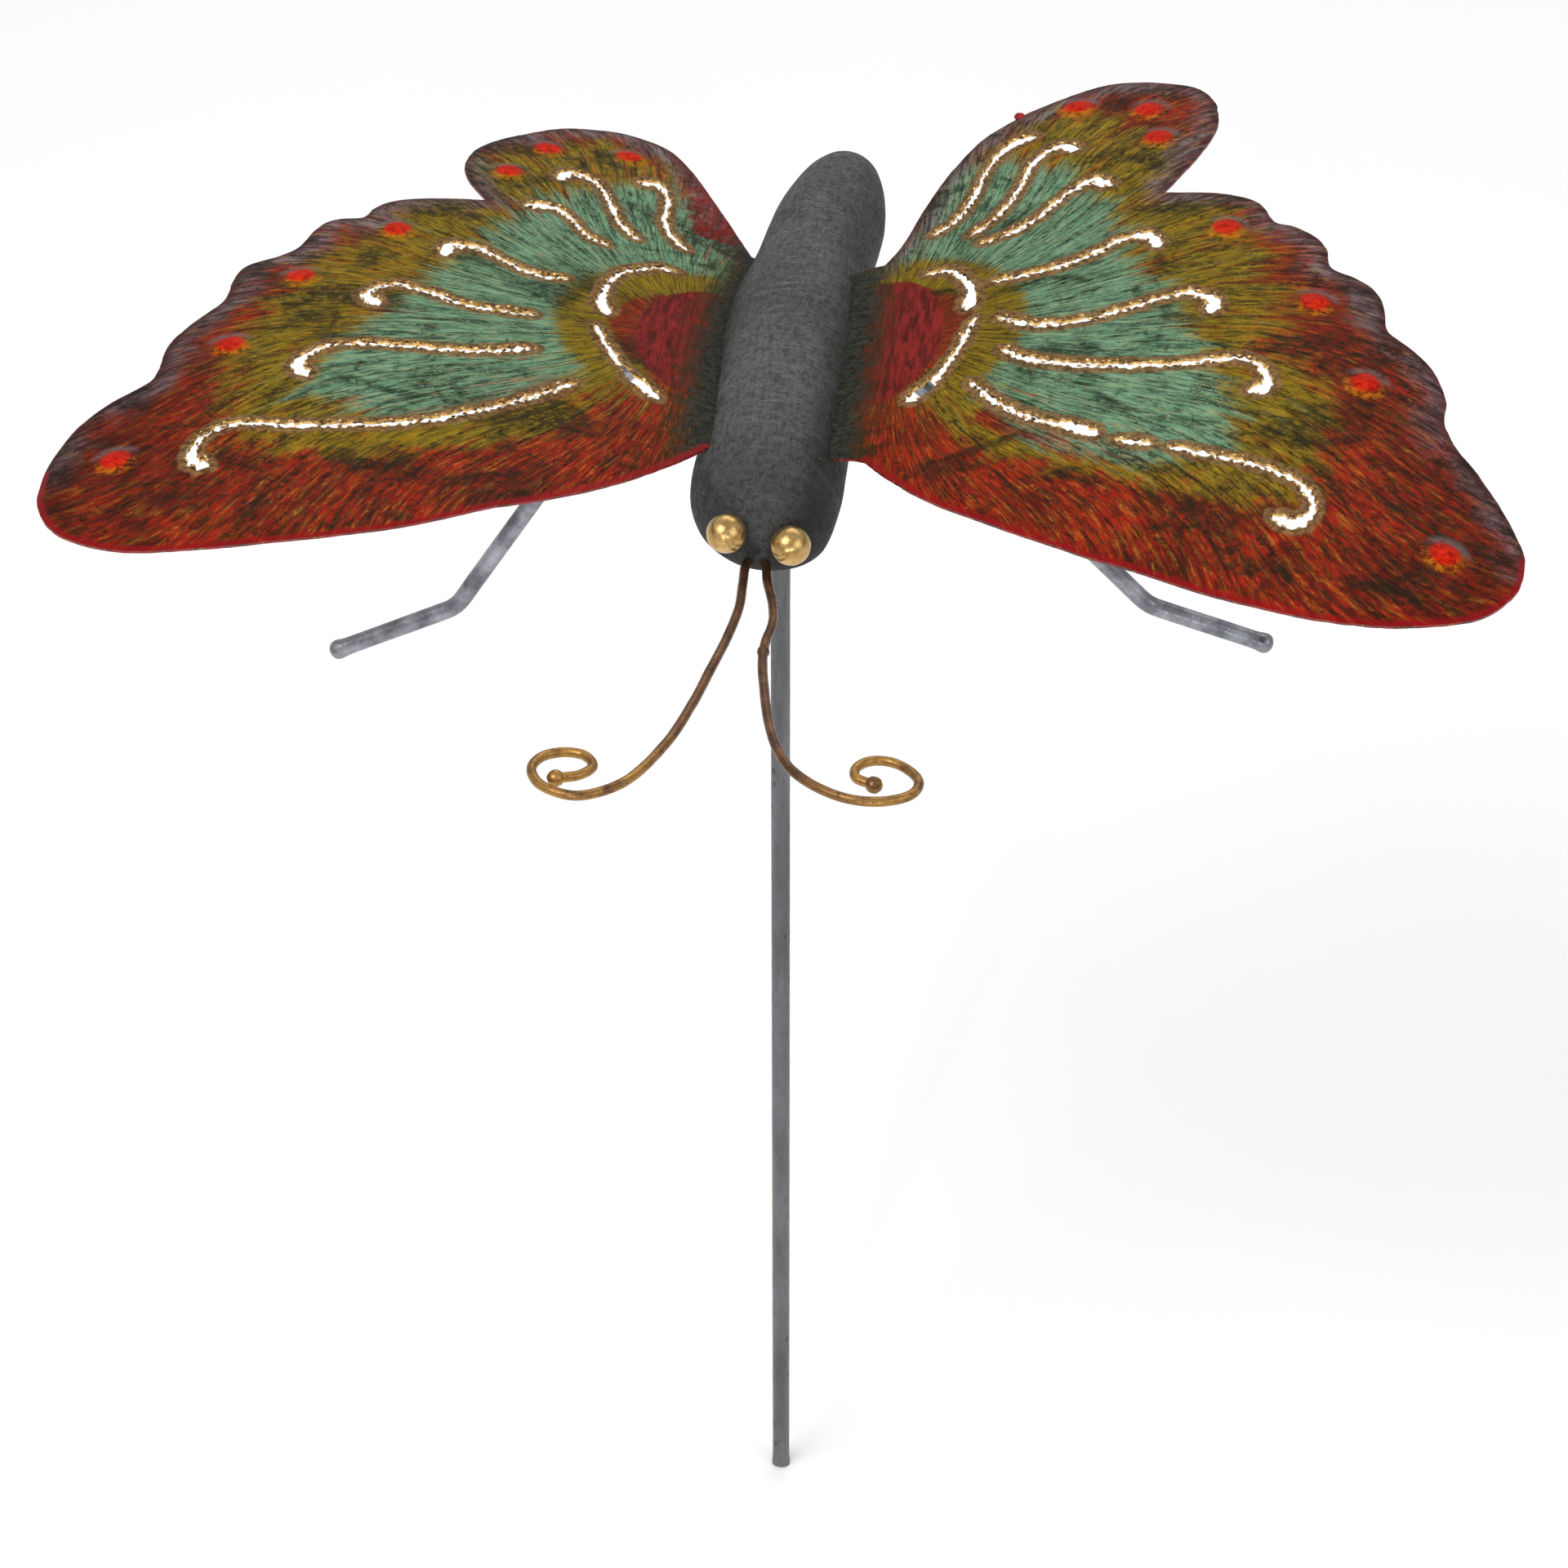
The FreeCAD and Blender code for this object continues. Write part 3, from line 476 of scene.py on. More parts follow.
    # wide smoky patches in the turquoise and beside the red
    smoke = m.noise(m.coord((0.035, 0.055, 1), pos, (2, 77, 0)), 1.0, 5.0, 0.62, 0.6)
    smk = m.math("MULTIPLY", m.step(smoke, 0.51, 0.63), m.step(flake, 0.40, 0.54, 0.25, 1.0))
    col = m.mix(m.math("MULTIPLY", smk, 0.82), col, tone(24, 28, 15))
    chip = m.math("MULTIPLY", m.step(flake, 0.60, 0.68), m.step(st6, 0.40, 0.56, 0.2, 1.0))
    col = m.mix(m.math("MULTIPLY", chip, 0.5), col, tone(22, 20, 14))

    # the wing tips are darker, the left more than the right
    col = m.mix(m.math("MULTIPLY", dusk, m.step(flake, 0.36, 0.58, 0.55, 1.0)), col, tone(44, 12, 8))

    # the sheet inside the crescents is brushed straight up and down, not out from the root
    cro = m.noise(m.coord((0.55, 0.10, 1), pos, (8, 61, 0)), 1.0, 5.0, 0.7, 0.5)
    mar2 = m.mix(m.step(cro, 0.38, 0.62), tone(86, 22, 18), tone(148, 40, 36))
    mar2 = m.mix(m.step(flake, 0.52, 0.64, 0.0, 0.6), mar2, tone(66, 34, 22))
    col = m.mix(m.step(fmar, 0.35, 0.65, 0.0, 0.93), col, mar2)

    # overspray from the body
    fb = m.math("ADD", body, m.math("MULTIPLY", m.math("SUBTRACT", blot2, 0.5), 16.0))
    fb = m.math("ADD", fb, m.math("MULTIPLY", m.math("SUBTRACT", fine, 0.5), 9.0))
    fb = m.math("ADD", fb, m.math("MULTIPLY", m.math("SUBTRACT", st5, 0.5), 14.0))
    col = m.mix(m.step(fb, 15.0, 6.0, 0.0, 0.60), col, tone(52, 50, 18))
    col = m.mix(m.step(fb, 9.0, 3.0, 0.0, 0.97), col, m.mix(m.step(flake, 0.4, 0.6), tone(30, 34, 29), tone(60, 62, 54)))

    # raised dots: red with an orange lower lip, and a painted highlight in cool grey on their upper side
    fd = m.math("ADD", dot, m.math("MULTIPLY", m.math("SUBTRACT", fine, 0.5), 2.0))
    fd = m.math("ADD", fd, m.math("MULTIPLY", m.math("SUBTRACT", blot2, 0.5), 3.0))
    dot_painted_highlight = m.math("MULTIPLY", m.math("MULTIPLY", m.step(dot, 8.4, 5.6), m.step(doty, 1.0, 4.5)), m.step(flake, 0.36, 0.56, 0.3, 1.0))
    col = m.mix(m.math("MULTIPLY", dot_painted_highlight, 0.62), col, tone(128, 112, 112))
    lip = m.math("MULTIPLY", m.step(fd, 7.2, 5.0), m.step(doty, 2.0, -3.5))
    lip = m.math("MULTIPLY", lip, m.step(flake, 0.44, 0.56))
    col = m.mix(m.math("MULTIPLY", lip, 0.75), col, tone(206, 120, 18))
    col = m.mix(m.step(fd, 4.9, 3.2, 0.0, 0.95), col, m.mix(m.step(flake, 0.4, 0.6), tone(168, 14, 8), tone(222, 40, 14)))

    # a red bead of paint on the leading edge, partly a painted highlight along the rolled edge
    fe = m.math("ADD", fr, m.math("MULTIPLY", m.math("SUBTRACT", fine, 0.5), 1.6))
    edge_bead_and_highlight = m.step(fe, 2.4, 0.9)
    col = m.mix(m.math("MULTIPLY", edge_bead_and_highlight, 0.7), col, tone(150, 14, 26))

    # heat-browned welt beside every cut, and bright melted metal on its lip
    fs = m.math("ADD", sl, m.math("MULTIPLY", m.math("SUBTRACT", fine, 0.5), 1.3))
    halo = m.step(fs, 2.9, 1.7)
    hc = m.mix(m.step(flake, 0.38, 0.62), tone(84, 58, 32), tone(154, 118, 76))
    col = m.mix(m.math("MULTIPLY", halo, 0.9), col, hc)
    melt_n = m.noise(m.coord((0.55, 0.55, 1), pos, (5, 17, 0)), 1.0, 2.0, 0.5)
    melt = m.math("MULTIPLY", m.step(sl, 0.75, 0.2), m.step(melt_n, 0.50, 0.62))
    gold = m.mix(m.step(fine, 0.35, 0.65), tone(150, 104, 48), tone(232, 196, 124))
    col = m.mix(melt, col, gold)

    # underside: thin dark coat with bare heat marks
    und = m.mix(m.step(blot, 0.35, 0.7), tone(44, 32, 28), tone(84, 48, 34))
    col = m.mix(under, col, und)

    rough = m.step(blot2, 0.3, 0.7, 0.40, 0.62)
    rough = m.mixf(melt, rough, 0.25)
    rough = m.mixf(edge_bead_and_highlight, rough, 0.3)
    metal = m.math("MULTIPLY", melt, 0.85)
    h = m.math("ADD", m.math("MULTIPLY", st2, 0.6), m.math("MULTIPLY", blot2, 0.5))
    nor = m.bump(h, 0.35, 0.0005)
    nor = m.bump(fine, 0.25, 0.00018, nor)
    nor = m.bump(st4, 0.25, 0.0002, nor)
    return m.out(color=col, rough=rough, metal=metal, normal=nor, spec=0.045)


WING_MAT = wing_material()


def edge_paint():
    """The cut edge of the sheet: paint runs over brown steel."""
    m = Mat("wing_edge")
    c = m.new("ShaderNodeTexCoord").outputs["Object"]
    a = m.noise(m.coord((180, 180, 180), c), 1.0, 4.0, 0.6)
    b = m.noise(m.coord((900, 900, 900), c), 1.0, 2.0, 0.6)
    col = m.mix(m.step(a, 0.35, 0.6), srgb(66, 24, 18), srgb(132, 18, 24))
    col = m.mix(m.step(b, 0.5, 0.7), col, srgb(120, 84, 52))
    return m.out(color=col, rough=m.step(b, 0.3, 0.7, 0.3, 0.55), metal=0.0, normal=m.bump(b, 0.4, 0.0002))


def cut_paint():
    """The wall of a torch cut: melted, bronze-gold."""
    m = Mat("cut_wall")
    c = m.new("ShaderNodeTexCoord").outputs["Object"]
    a = m.noise(m.coord((300, 300, 300), c), 1.0, 3.0, 0.6)
    b = m.noise(m.coord((1100, 1100, 1100), c), 1.0, 2.0, 0.6)
    col = m.mix(m.step(a, 0.38, 0.56), srgb(96, 62, 34), srgb(226, 182, 108))
    return m.out(color=col, rough=m.step(b, 0.3, 0.7, 0.22, 0.5), metal=0.8, normal=m.bump(a, 0.6, 0.0006))


def melted():
    """Beads of melted steel along the cuts: some bright gold, some scorched dark."""
    m = Mat("melted_beads")
    c = m.new("ShaderNodeTexCoord").outputs["Object"]
    a = m.noise(m.coord((420, 420, 420), c), 1.0, 3.0, 0.6)
    b = m.noise(m.coord((2400, 2400, 2400), c), 1.0, 2.0, 0.6)
    col = m.mix(m.step(a, 0.36, 0.50), srgb(70, 46, 26), srgb(186, 138, 70))
    col = m.mix(m.step(a, 0.52, 0.60), col, srgb(244, 214, 150))
    return m.out(color=col, rough=m.step(b, 0.3, 0.7, 0.2, 0.42), metal=0.85, normal=m.bump(b, 0.3, 0.0001))


EDGE_MAT = edge_paint()
CUT_MAT = cut_paint()
MELT_MAT = melted()


def wing_table(side):
    d0, d1, d2, t0, t1, k = WING_BEND[side]
    s = np.linspace(0, 270, 1081)
    q = (s[:-1] + s[1:]) / 2
    th = d0 + d1 * q / 100 + d2 * (q / 100) ** 2
    ds = s[1] - s[0]
    X = np.concatenate([[0], np.cumsum(np.cos(th) * ds)])
    Z = np.concatenate([[0], np.cumsum(np.sin(th) * ds)])
    return s, X, Z


def wing_z(side, xy):
    d0, d1, d2, t0, t1, k = WING_BEND[side]
    s, X, Z = wing_table(side)
    ax = np.abs(xy[:, 0])
    ss = np.interp(ax, X, s)
    tau = t0 + t1 * ss / 100
    t = xy[:, 1] / np.cos(tau)
    return BODY_Z + WING_RISE + np.interp(ax, X, Z) + t * np.sin(tau) + k * (t / 100) ** 2 * 10


def build_wing(side):
    sg = -1.0 if side == "left" else 1.0
    out = OUTLINE[side]
    n_open = len(out) - 2
    # the visible edge is a smooth line with a sharp notch between fore and hind wing
    a = smooth_line(out[:NOTCH[side] + 1], 1.3)
    b = smooth_line(out[NOTCH[side]:n_open], 1.3)
    free = np.vstack([a, b[1:]])
    tipi = int(np.hypot(free[:, 0] - out[TIP[side]][0], free[:, 1] - out[TIP[side]][1]).argmin())
    for i in range(1, len(free) - 1):
        d = free[i + 1] - free[i - 1]
        nrm = np.array([-d[1], d[0]]) / max(np.linalg.norm(d), 1e-6)
        free[i] += nrm * (0.16 * n3(i * 0.33, 3.1 * sg) + 0.10 * n3(i * 0.9, 7.7 * sg))
    r1, r2 = np.array(out[-2], float), np.array(out[-1], float)
    root = []
    for p, q in ((free[-1], r1), (r1, r2), (r2, free[0])):
        k = max(2, int(np.linalg.norm(q - p) / 3.0))
        root += [p + (q - p) * j / k for j in range(1, k + 1)]
    root = np.array(root[:-1])
    ring = np.vstack([free, root])

    # the torch cuts, with a ragged width that opens out at the hooked end
    holes, cut_lines, beads = [], [], []
    for ci, line in enumerate(CUTS[side]):
        c = smooth_line(line, 0.75)
        L = np.concatenate([[0], np.cumsum(np.linalg.norm(np.diff(c, axis=0), axis=1))])
        T = np.gradient(c, axis=0)
        T /= np.linalg.norm(T, axis=1)[:, None]
        N = np.stack([-T[:, 1], T[:, 0]], -1)
        # a run across the wing is foreshortened, so it was cut a little wider there
        w0 = 0.76 + 0.46 * np.abs(T[:, 0])
        hook = sstep(L, L[-1] - 17.0, L[-1] - 4.0) * (1.05 if len(line) > 4 else 0.0)
        end = np.minimum(1.0, 0.35 + np.minimum(L, L[-1] - L) / 2.2)
        # the torch pulsed: a rope of scallops, out of step on the two sides
        ph = L * 2 * math.pi / 2.7 + np.array([1.6 * n3(q * 0.12, ci * 3.7, sg) for q in L])
        wob = lambda k: np.array([0.75 * n3(q * 0.30, ci * 9.1 + k, sg) + 0.45 * n3(q * 1.3, ci * 4.3 + k, 2 + sg) for q in L])
        wl = (w0 + hook + 0.30 * np.sin(ph) + wob(0)) * end
        wr = (w0 + hook + 0.30 * np.sin(ph + 2.4) + wob(50)) * end
        wl = np.clip(wl, 0.28, 3.0)
        wr = np.clip(wr, 0.28, 3.0)
        # beads of melted steel that hang on both lips
        for edge, wid in ((1.0, wl), (-1.0, wr)):
            q = 1.2 + rng.uniform(0, 1.5)
            while q < L[-1] - 0.8:
                i = int(np.abs(L - q).argmin())
                if rng.uniform() < 0.78:
                    beads.append((c[i] + N[i] * edge * (wid[i] + 0.05), T[i], rng.uniform(0.28, 0.52)))
                q += rng.uniform(1.8, 4.0)
        lo = c + N * wl[:, None]
        hi = c - N * wr[:, None]
        cap1 = c[-1] + T[-1] * wl[-1] * 0.8
        cap0 = c[0] - T[0] * wl[0] * 0.8
        poly = np.vstack([lo, cap1[None], hi[::-1], cap0[None]])
        # drop points that crowd each other on the inside of a bend
        keep = [0]
        for i in range(1, len(poly)):
            if np.linalg.norm(poly[i] - poly[keep[-1]]) > 0.35:
                keep.append(i)
        poly = poly[keep]
        holes.append(poly)
        cut_lines.append(c)

    bound = [ring] + holes
    loops, pts = [], []
    base = 0
    for poly in bound:
        n = len(poly)
        pts.append(poly)
        loops += [(base + i, base + (i + 1) % n) for i in range(n)]
        base += n
    cloud_cut = np.vstack(holes)
    cloud_cut_mid = np.vstack(cut_lines)
    # filling points: an even field, closer beside the cuts and the dots
    lo, hi = ring.min(0), ring.max(0)
    h = 2.1
    gx = np.arange(lo[0], hi[0], h)
    gy = np.arange(lo[1], hi[1], h * 0.866)
    field = np.array([(x + (h / 2 if j % 2 else 0), y) for j, y in enumerate(gy) for x in gx])
    h2 = 1.05
    gx = np.arange(lo[0], hi[0], h2)
    gy = np.arange(lo[1], hi[1], h2 * 0.866)
    dense = np.array([(x + (h2 / 2 if j % 2 else 0), y) for j, y in enumerate(gy) for x in gx])
    dd, _ = nearest(dense, cloud_cut)
    dots = np.array(DOTS[side])
    ddot, _ = nearest(dense, dots)
    dense = dense[((dd < 5.0) | (ddot < 8.5)) & (dd > 0.55)]
    df, _ = nearest(field, cloud_cut)
    dfd, _ = nearest(field, dots)
    field = field[(df >= 5.0) & (dfd >= 8.5)]
    fill = np.vstack([field, dense])
    fill = fill + rng.uniform(-0.12, 0.12, fill.shape)
    ok = inside(ring, fill)
    for poly in holes:
        ok &= ~inside(poly, fill)
    de, _ = nearest(fill, ring)
    ok &= de > 0.7
    fill = fill[ok]
    pts.append(fill)
    allp = np.vstack(pts)
    res = geometry.delaunay_2d_cdt([Vector((float(x), float(y))) for x, y in allp], loops, [], 0, 1e-5)
    V2 = np.array([(v.x, v.y) for v in res[0]])
    F = [tuple(f) for f in res[2]]
    cen = np.array([V2[list(f)].mean(0) for f in F])
    ok = inside(ring, cen)
    for poly in holes:
        ok &= ~inside(poly, cen)
    F = [f for f, k in zip(F, ok) if k]
    used = sorted({i for f in F for i in f})
    remap = {o: i for i, o in enumerate(used)}
    V2 = V2[used]
    F = [tuple(remap[i] for i in f) for f in F]
    # the sheet stops in the skin of the body, clear of the stake top and the cups
    skin = skin_profile()
    stn = np.arange(-48.0, 155.0, 1.0)
    axn = np.array([body_axis(v)[:2] for v in stn])
    off0 = V2[:, 0] - np.interp(V2[:, 1], axn[:, 1], axn[:, 0])
    rad0 = np.hypot(off0, wing_z(side, V2) - BODY_Z)
    rb0 = np.interp(V2[:, 1], [q[0] for q in skin], [q[1] for q in skin])
    F = [f for f in F if max(rad0[i] - rb0[i] for i in f) > -0.9 and sum(off0[i] for i in f) * sg > 0]
    used = sorted({i for f in F for i in f})
    remap = {o: i for i, o in enumerate(used)}
    V2 = V2[used]
    F = [tuple(remap[i] for i in f) for f in F]
    # all faces anticlockwise seen from above
    F = [f if np.cross(V2[f[1]] - V2[f[0]], V2[f[2]] - V2[f[0]]) > 0 else f[::-1] for f in F]

    # distances that drive both the relief and the paint
    d_cut, _ = nearest(V2, cloud_cut)
    d_mid, _ = nearest(V2, cloud_cut_mid)
    front = free[:tipi + 1]
    rear = free[tipi:]
    d_front, _ = nearest(V2, front)
    d_rear, _ = nearest(V2, rear)
    d_edge = np.minimum(d_front, d_rear)
    dd, di = nearest(V2, dots)
    up = V2[:, 1] - dots[di][:, 1]
    outx = (V2[:, 0] - dots[di][:, 0]) * sg
    dot_up = up * 0.9 + outx * 0.3
    # distance from the body's side
    prof = skin_profile()
    st = np.arange(-48.0, 155.0, 1.0)
    ax = np.array([body_axis(v)[:2] for v in st])
    mid = np.interp(V2[:, 1], ax[:, 1], ax[:, 0])
    off = np.abs(V2[:, 0] - mid)
    rb = np.interp(V2[:, 1], [p[0] for p in prof], [p[1] for p in prof])
    d_body = off - rb * 0.86
    # fan coordinates
    cx, cy = FAN[side]
    fx, fy = V2[:, 0] * sg - cx, V2[:, 1] - cy
    rho = np.hypot(fx, fy)
    ang = np.degrees(np.arctan2(fy, fx))
    ang_s = ang + 3.0 * np.sin(rho / 23.0)

    # height of the top face
    z = wing_z(side, V2)
    nz = np.array([[0.55 * n3(x / 34, y / 34, 1.3 * sg) + 0.20 * n3(x / 12, y / 12, 5 * sg), n3(x / 1.7, y / 1.7, 9 * sg), n3(x / 0.8, y / 0.8, 3 * sg)] for x, y in V2])
    z = z + nz[:, 0]
    welt = np.exp(-((d_cut - 1.1) / 0.9) ** 2) * (0.55 + 0.3 * nz[:, 1])
    lip = np.exp(-(d_cut / 0.6) ** 2)
    z = z + welt + lip * (0.05 + 0.6 * nz[:, 1] + 0.4 * nz[:, 2])
    z = z + 1.35 * np.exp(-(dd / 3.7) ** 2) - 0.35 * np.exp(-((dd - 6.6) / 1.5) ** 2)
    z = z - 0.5 * np.exp(-(d_edge / 1.4) ** 2)

    # paint weights
    wa = [-180, -60, -50, -42, -32, -18, -5, 10, 22, 35, 50, 62, 78, 92, 102, 112, 180]
    rm = [0, 60, 96, 112, 120, 100, 86, 78, 74, 80, 88, 94, 98, 92, 70, 0, 0]
    am = [0, 0, 0.62, 0.8, 1, 1, 1, 1, 1, 0.95, 1, 1, 1, 0.8, 0.2, 0, 0]
    rmax = np.interp(ang, wa, rm)
    amp = np.interp(ang, wa, am)
    turq = amp * sstep(rho, 34, 44) * (1 - sstep(rho, rmax - 16, rmax + 10))
    must = sstep(rho, 20, 28) * (1 - sstep(rho, 46, 58)) * np.interp(ang, [-180, -75, -55, 90, 110, 180], [0, 0.2, 1, 1, 0.3, 0])
    must2 = 0.78 * sstep(rho, rmax - 22, rmax - 4) * (1 - sstep(rho, rmax + 18, rmax + 48)) * np.interp(ang, [-180, -75, -60, 60, 95, 180], [0, 0.0, 0.9, 0.9, 0.5, 0])
    must = np.maximum(must, must2)
    fw = np.interp(np.abs(V2[:, 0]), [15, 60, 120, 200], [12, 24, 38, 52])
    red = np.clip(1.15 * (1 - sstep(d_front, fw * 0.55, fw * 1.25)), 0, 1)
    red = np.maximum(red, 0.72 * sstep(rho, 118, 150) * (ang < 40))
    maroon = (1 - sstep(rho, 17.5, 22.5)) * (V2[:, 0] * sg > cx - 14) + 0.0
    mr = np.hypot((fx + 4) / 1.0, fy / 1.55)
    maroon = 1 - sstep(mr, 17.5, 21.5)
    inner = (1 - sstep(np.abs(fy) / 1.35, 14.0, 20.0)) * (fx < 4)
    maroon = np.maximum(maroon, inner)
    if side == "right":
        red = np.maximum(red, 0.95 * np.exp(-((V2[:, 0] - 152) / 22) ** 2 - ((V2[:, 1] - 18) / 24) ** 2))
    if side == "left":
        hind_inner = (1 - sstep(d_rear, 12, 22)) * (V2[:, 1] > 96) * (np.abs(V2[:, 0]) < 52) * sstep(np.abs(ang), 70, 86)
        maroon = np.maximum(maroon, 0.56 * hind_inner)

    # two faces and the wall between them
    n = len(V2)
    thick = 0.75
    top = np.column_stack([V2, z])
    bot = np.column_stack([V2, z - thick])
    allv = metres(np.vstack([top, bot]))
    count = {}
    for f in F:
        for i in range(3):
            e = (f[i], f[(i + 1) % 3])
            count[e] = count.get(e, 0) + 1
    sides = [(i, j) for (i, j) in count if (j, i) not in count]
    quads = [(i, n + i, n + j, j) for i, j in sides]
    under = [tuple(n + i for i in f[::-1]) for f in F]
    ob = mesh_object("wing_%s_painted" % side, allv, F + under + quads, WING_MAT)
    me = ob.data
    me.materials.append(EDGE_MAT)
    me.materials.append(CUT_MAT)
    q0 = 2 * len(F)
    on_cut = d_cut < 0.01
    for k, (i, j) in enumerate(sides):
        me.polygons[q0 + k].material_index = 2 if (on_cut[i] or on_cut[j]) else 1
    bm = bmesh.new()
    bm.from_mesh(me)
    bm.normal_update()
    for e in bm.edges:
        if len(e.link_faces) == 2:
            a_, b_ = e.link_faces
            qa, qb = len(a_.verts) == 4, len(b_.verts) == 4
            if qa != qb:
                e.smooth = False
    bm.to_mesh(me)
    bm.free()
    two = lambda v: np.concatenate([v, v])
    float_attr(me, "d_cut", two(np.minimum(d_cut, 30)))
    float_attr(me, "d_edge", two(np.minimum(d_edge, 60)))
    float_attr(me, "d_front", two(np.minimum(d_front, 90)))
    float_attr(me, "d_rear", two(np.minimum(d_rear, 90)))
    float_attr(me, "d_body", two(np.clip(d_body, -20, 90)))
    float_attr(me, "d_dot", two(np.minimum(dd, 30)))
    float_attr(me, "dot_up", two(dot_up))
    float_attr(me, "w_turq", two(turq))
    float_attr(me, "w_must", two(must))
    float_attr(me, "w_red", two(red))
    float_attr(me, "w_maroon", two(maroon))
    dusk = (0.55 if side == "left" else 0.30) * sstep(np.abs(V2[:, 0]), 135, 190)
    float_attr(me, "w_dusk", two(dusk))
    float_attr(me, "under", np.concatenate([np.zeros(n), np.ones(n)]))
    pol = np.column_stack([rho, ang_s * 1.0, np.full(n, 4.0 if side == "left" else 9.0)])
    vec_attr(me, "pol", np.vstack([pol, pol]))
    fl = np.column_stack([V2 + np.array([0 if side == "left" else 400.0, 0]), np.zeros(n)])
    vec_attr(me, "flat", np.vstack([fl, fl]))
    # the melted beads are a mesh of their own, on the same wing
    bv, bf = [], []
    ico = bmesh.new()
    bmesh.ops.create_icosphere(ico, subdivisions=2, radius=1.0)
    iv = np.array([v.co[:] for v in ico.verts])
    iff = [[v.index for v in f.verts] for f in ico.faces]
    ico.free()
    for k, (xy, t, r) in enumerate(beads):
        bz = float(wing_z(side, xy[None])[0]) + 0.45 + 0.25 * n3(k * 1.7, 2.2)
        tx = np.array([t[0], t[1], 0.0]) + np.array([0.5 * n3(k * 0.7, 9.9), 0.5 * n3(k * 0.9, 4.4), 0])
        tx /= np.linalg.norm(tx)
        ty = np.cross([0, 0, 1.0], tx)
        q = iv * np.array([1.75, 0.85, 0.8]) * r
        q = q * (1 + 0.18 * np.array([n3(*(v * 1.6 + k)) for v in iv]))[:, None]
        pnt = np.array([xy[0], xy[1], bz]) + q[:, :1] * tx + q[:, 1:2] * ty + q[:, 2:] * np.array([0, 0, 1.0])
        bf += [[i + len(bv) for i in f] for f in iff]
        bv += list(pnt)
    drops = mesh_object("cut_beads_%s" % side, metres(np.array(bv)), bf, MELT_MAT)
    for o in (ob, drops):
        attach(o, "butterfly")
    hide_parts("wing_%s" % side)
    return ob


for side in ("left", "right"):
    build_wing(side)


def drip_paint():
    """A drop of red enamel."""
    m = Mat("red_drip")
    c = m.new("ShaderNodeTexCoord").outputs["Object"]
    a = m.noise(m.coord((500, 500, 500), c), 1.0, 3.0, 0.6)
    col = m.mix(m.step(a, 0.35, 0.65), srgb(110, 10, 10), srgb(170, 20, 16))
    return m.out(color=col, rough=m.step(a, 0.3, 0.7, 0.25, 0.45), metal=0.0, normal=m.bump(a, 0.3, 0.0002), spec=0.3)


def drip():
    q = np.array([[56.6, 147.4]])
    z = float(wing_z("right", q)[0])
    bm = bmesh.new()
    bmesh.ops.create_icosphere(bm, subdivisions=4, radius=1.0)
    c = metres([q[0, 0], q[0, 1], z + 0.1])
    for v in bm.verts:
        d = v.co.normalized()
        k = 1.5 * MM * (1 + 0.12 * noise.noise(d * 2.0 + Vector((3, 3, 3))))
        v.co = Vector((c[0] + d.x * k * 1.15, c[1] + d.y * k, c[2] + d.z * k * 0.8))
    me = bpy.data.meshes.new("edge_drip")
    bm.to_mesh(me)
    bm.free()
    me.materials.append(drip_paint())
    me.polygons.foreach_set("use_smooth", [True] * len(me.polygons))
    ob = bpy.data.objects.new("edge_drip", me)
    bpy.context.scene.collection.objects.link(ob)
    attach(ob, "butterfly")


drip()


# ------------------------------------------------------------ body
def body_material():
    m = Mat("body_paint")
    c = m.new("ShaderNodeTexCoord").outputs["Object"]
    big = m.noise(m.coord((38, 24, 38), c), 1.0, 5.0, 0.6)
    mid = m.noise(m.coord((620, 420, 620), c), 1.0, 5.0, 0.72, 0.2)
    brush = m.noise(m.coord((900, 110, 900), c), 1.0, 5.0, 0.65)
    cross = m.noise(m.coord((140, 900, 140), c, (5, 2, 1)), 1.0, 4.0, 0.65)
    fine = m.noise(m.coord((1700, 1700, 1700), c), 1.0, 3.0, 0.75)
    # this attribute carries painted shade, with some dark overspray on the flanks
    flat = m.attr("shade")
    col = m.mix(m.step(big, 0.36, 0.64), srgb(68, 69, 69), srgb(84, 84, 85))
    col = m.mix(m.step(mid, 0.48, 0.60, 0.0, 0.62), col, srgb(40, 41, 37))
    col = m.mix(m.step(brush, 0.50, 0.62, 0.0, 0.45), col, srgb(44, 44, 44))
    col = m.mix(m.step(cross, 0.52, 0.64, 0.0, 0.38), col, srgb(110, 110, 110))
    col = m.mix(m.step(fine, 0.56, 0.66, 0.0, 0.5), col, srgb(124, 124, 122))
    col = m.mix(m.step(fine, 0.44, 0.36, 0.0, 0.5), col, srgb(34, 34, 32))
    # darker, blacker on the flanks, the head and underneath: partly dark overspray on the flanks, partly painted shade
    # where the body turns from the light
    col = m.mix(m.math("MULTIPLY", flat, 0.85), col, srgb(24, 24, 22))
    spark = m.voronoi(m.coord((420, 420, 420), c), 1.0)
    gate = m.noise(m.coord((70, 70, 70), c, (9, 2, 4)), 1.0, 2.0, 0.5)
    sp = m.math("MULTIPLY", m.step(spark, 0.10, 0.05), m.step(gate, 0.58, 0.68))
    col = m.mix(sp, col, srgb(205, 205, 200))
    h = m.math("ADD", m.math("MULTIPLY", mid, 0.5), m.math("MULTIPLY", fine, 0.5))
    nor = m.bump(h, 0.5, 0.0007)
    nor = m.bump(big, 0.25, 0.002, nor)
    return m.out(color=col, rough=m.step(mid, 0.3, 0.7, 0.55, 0.8), metal=0.0, normal=nor, spec=0.22)


BODY_MAT = body_material()


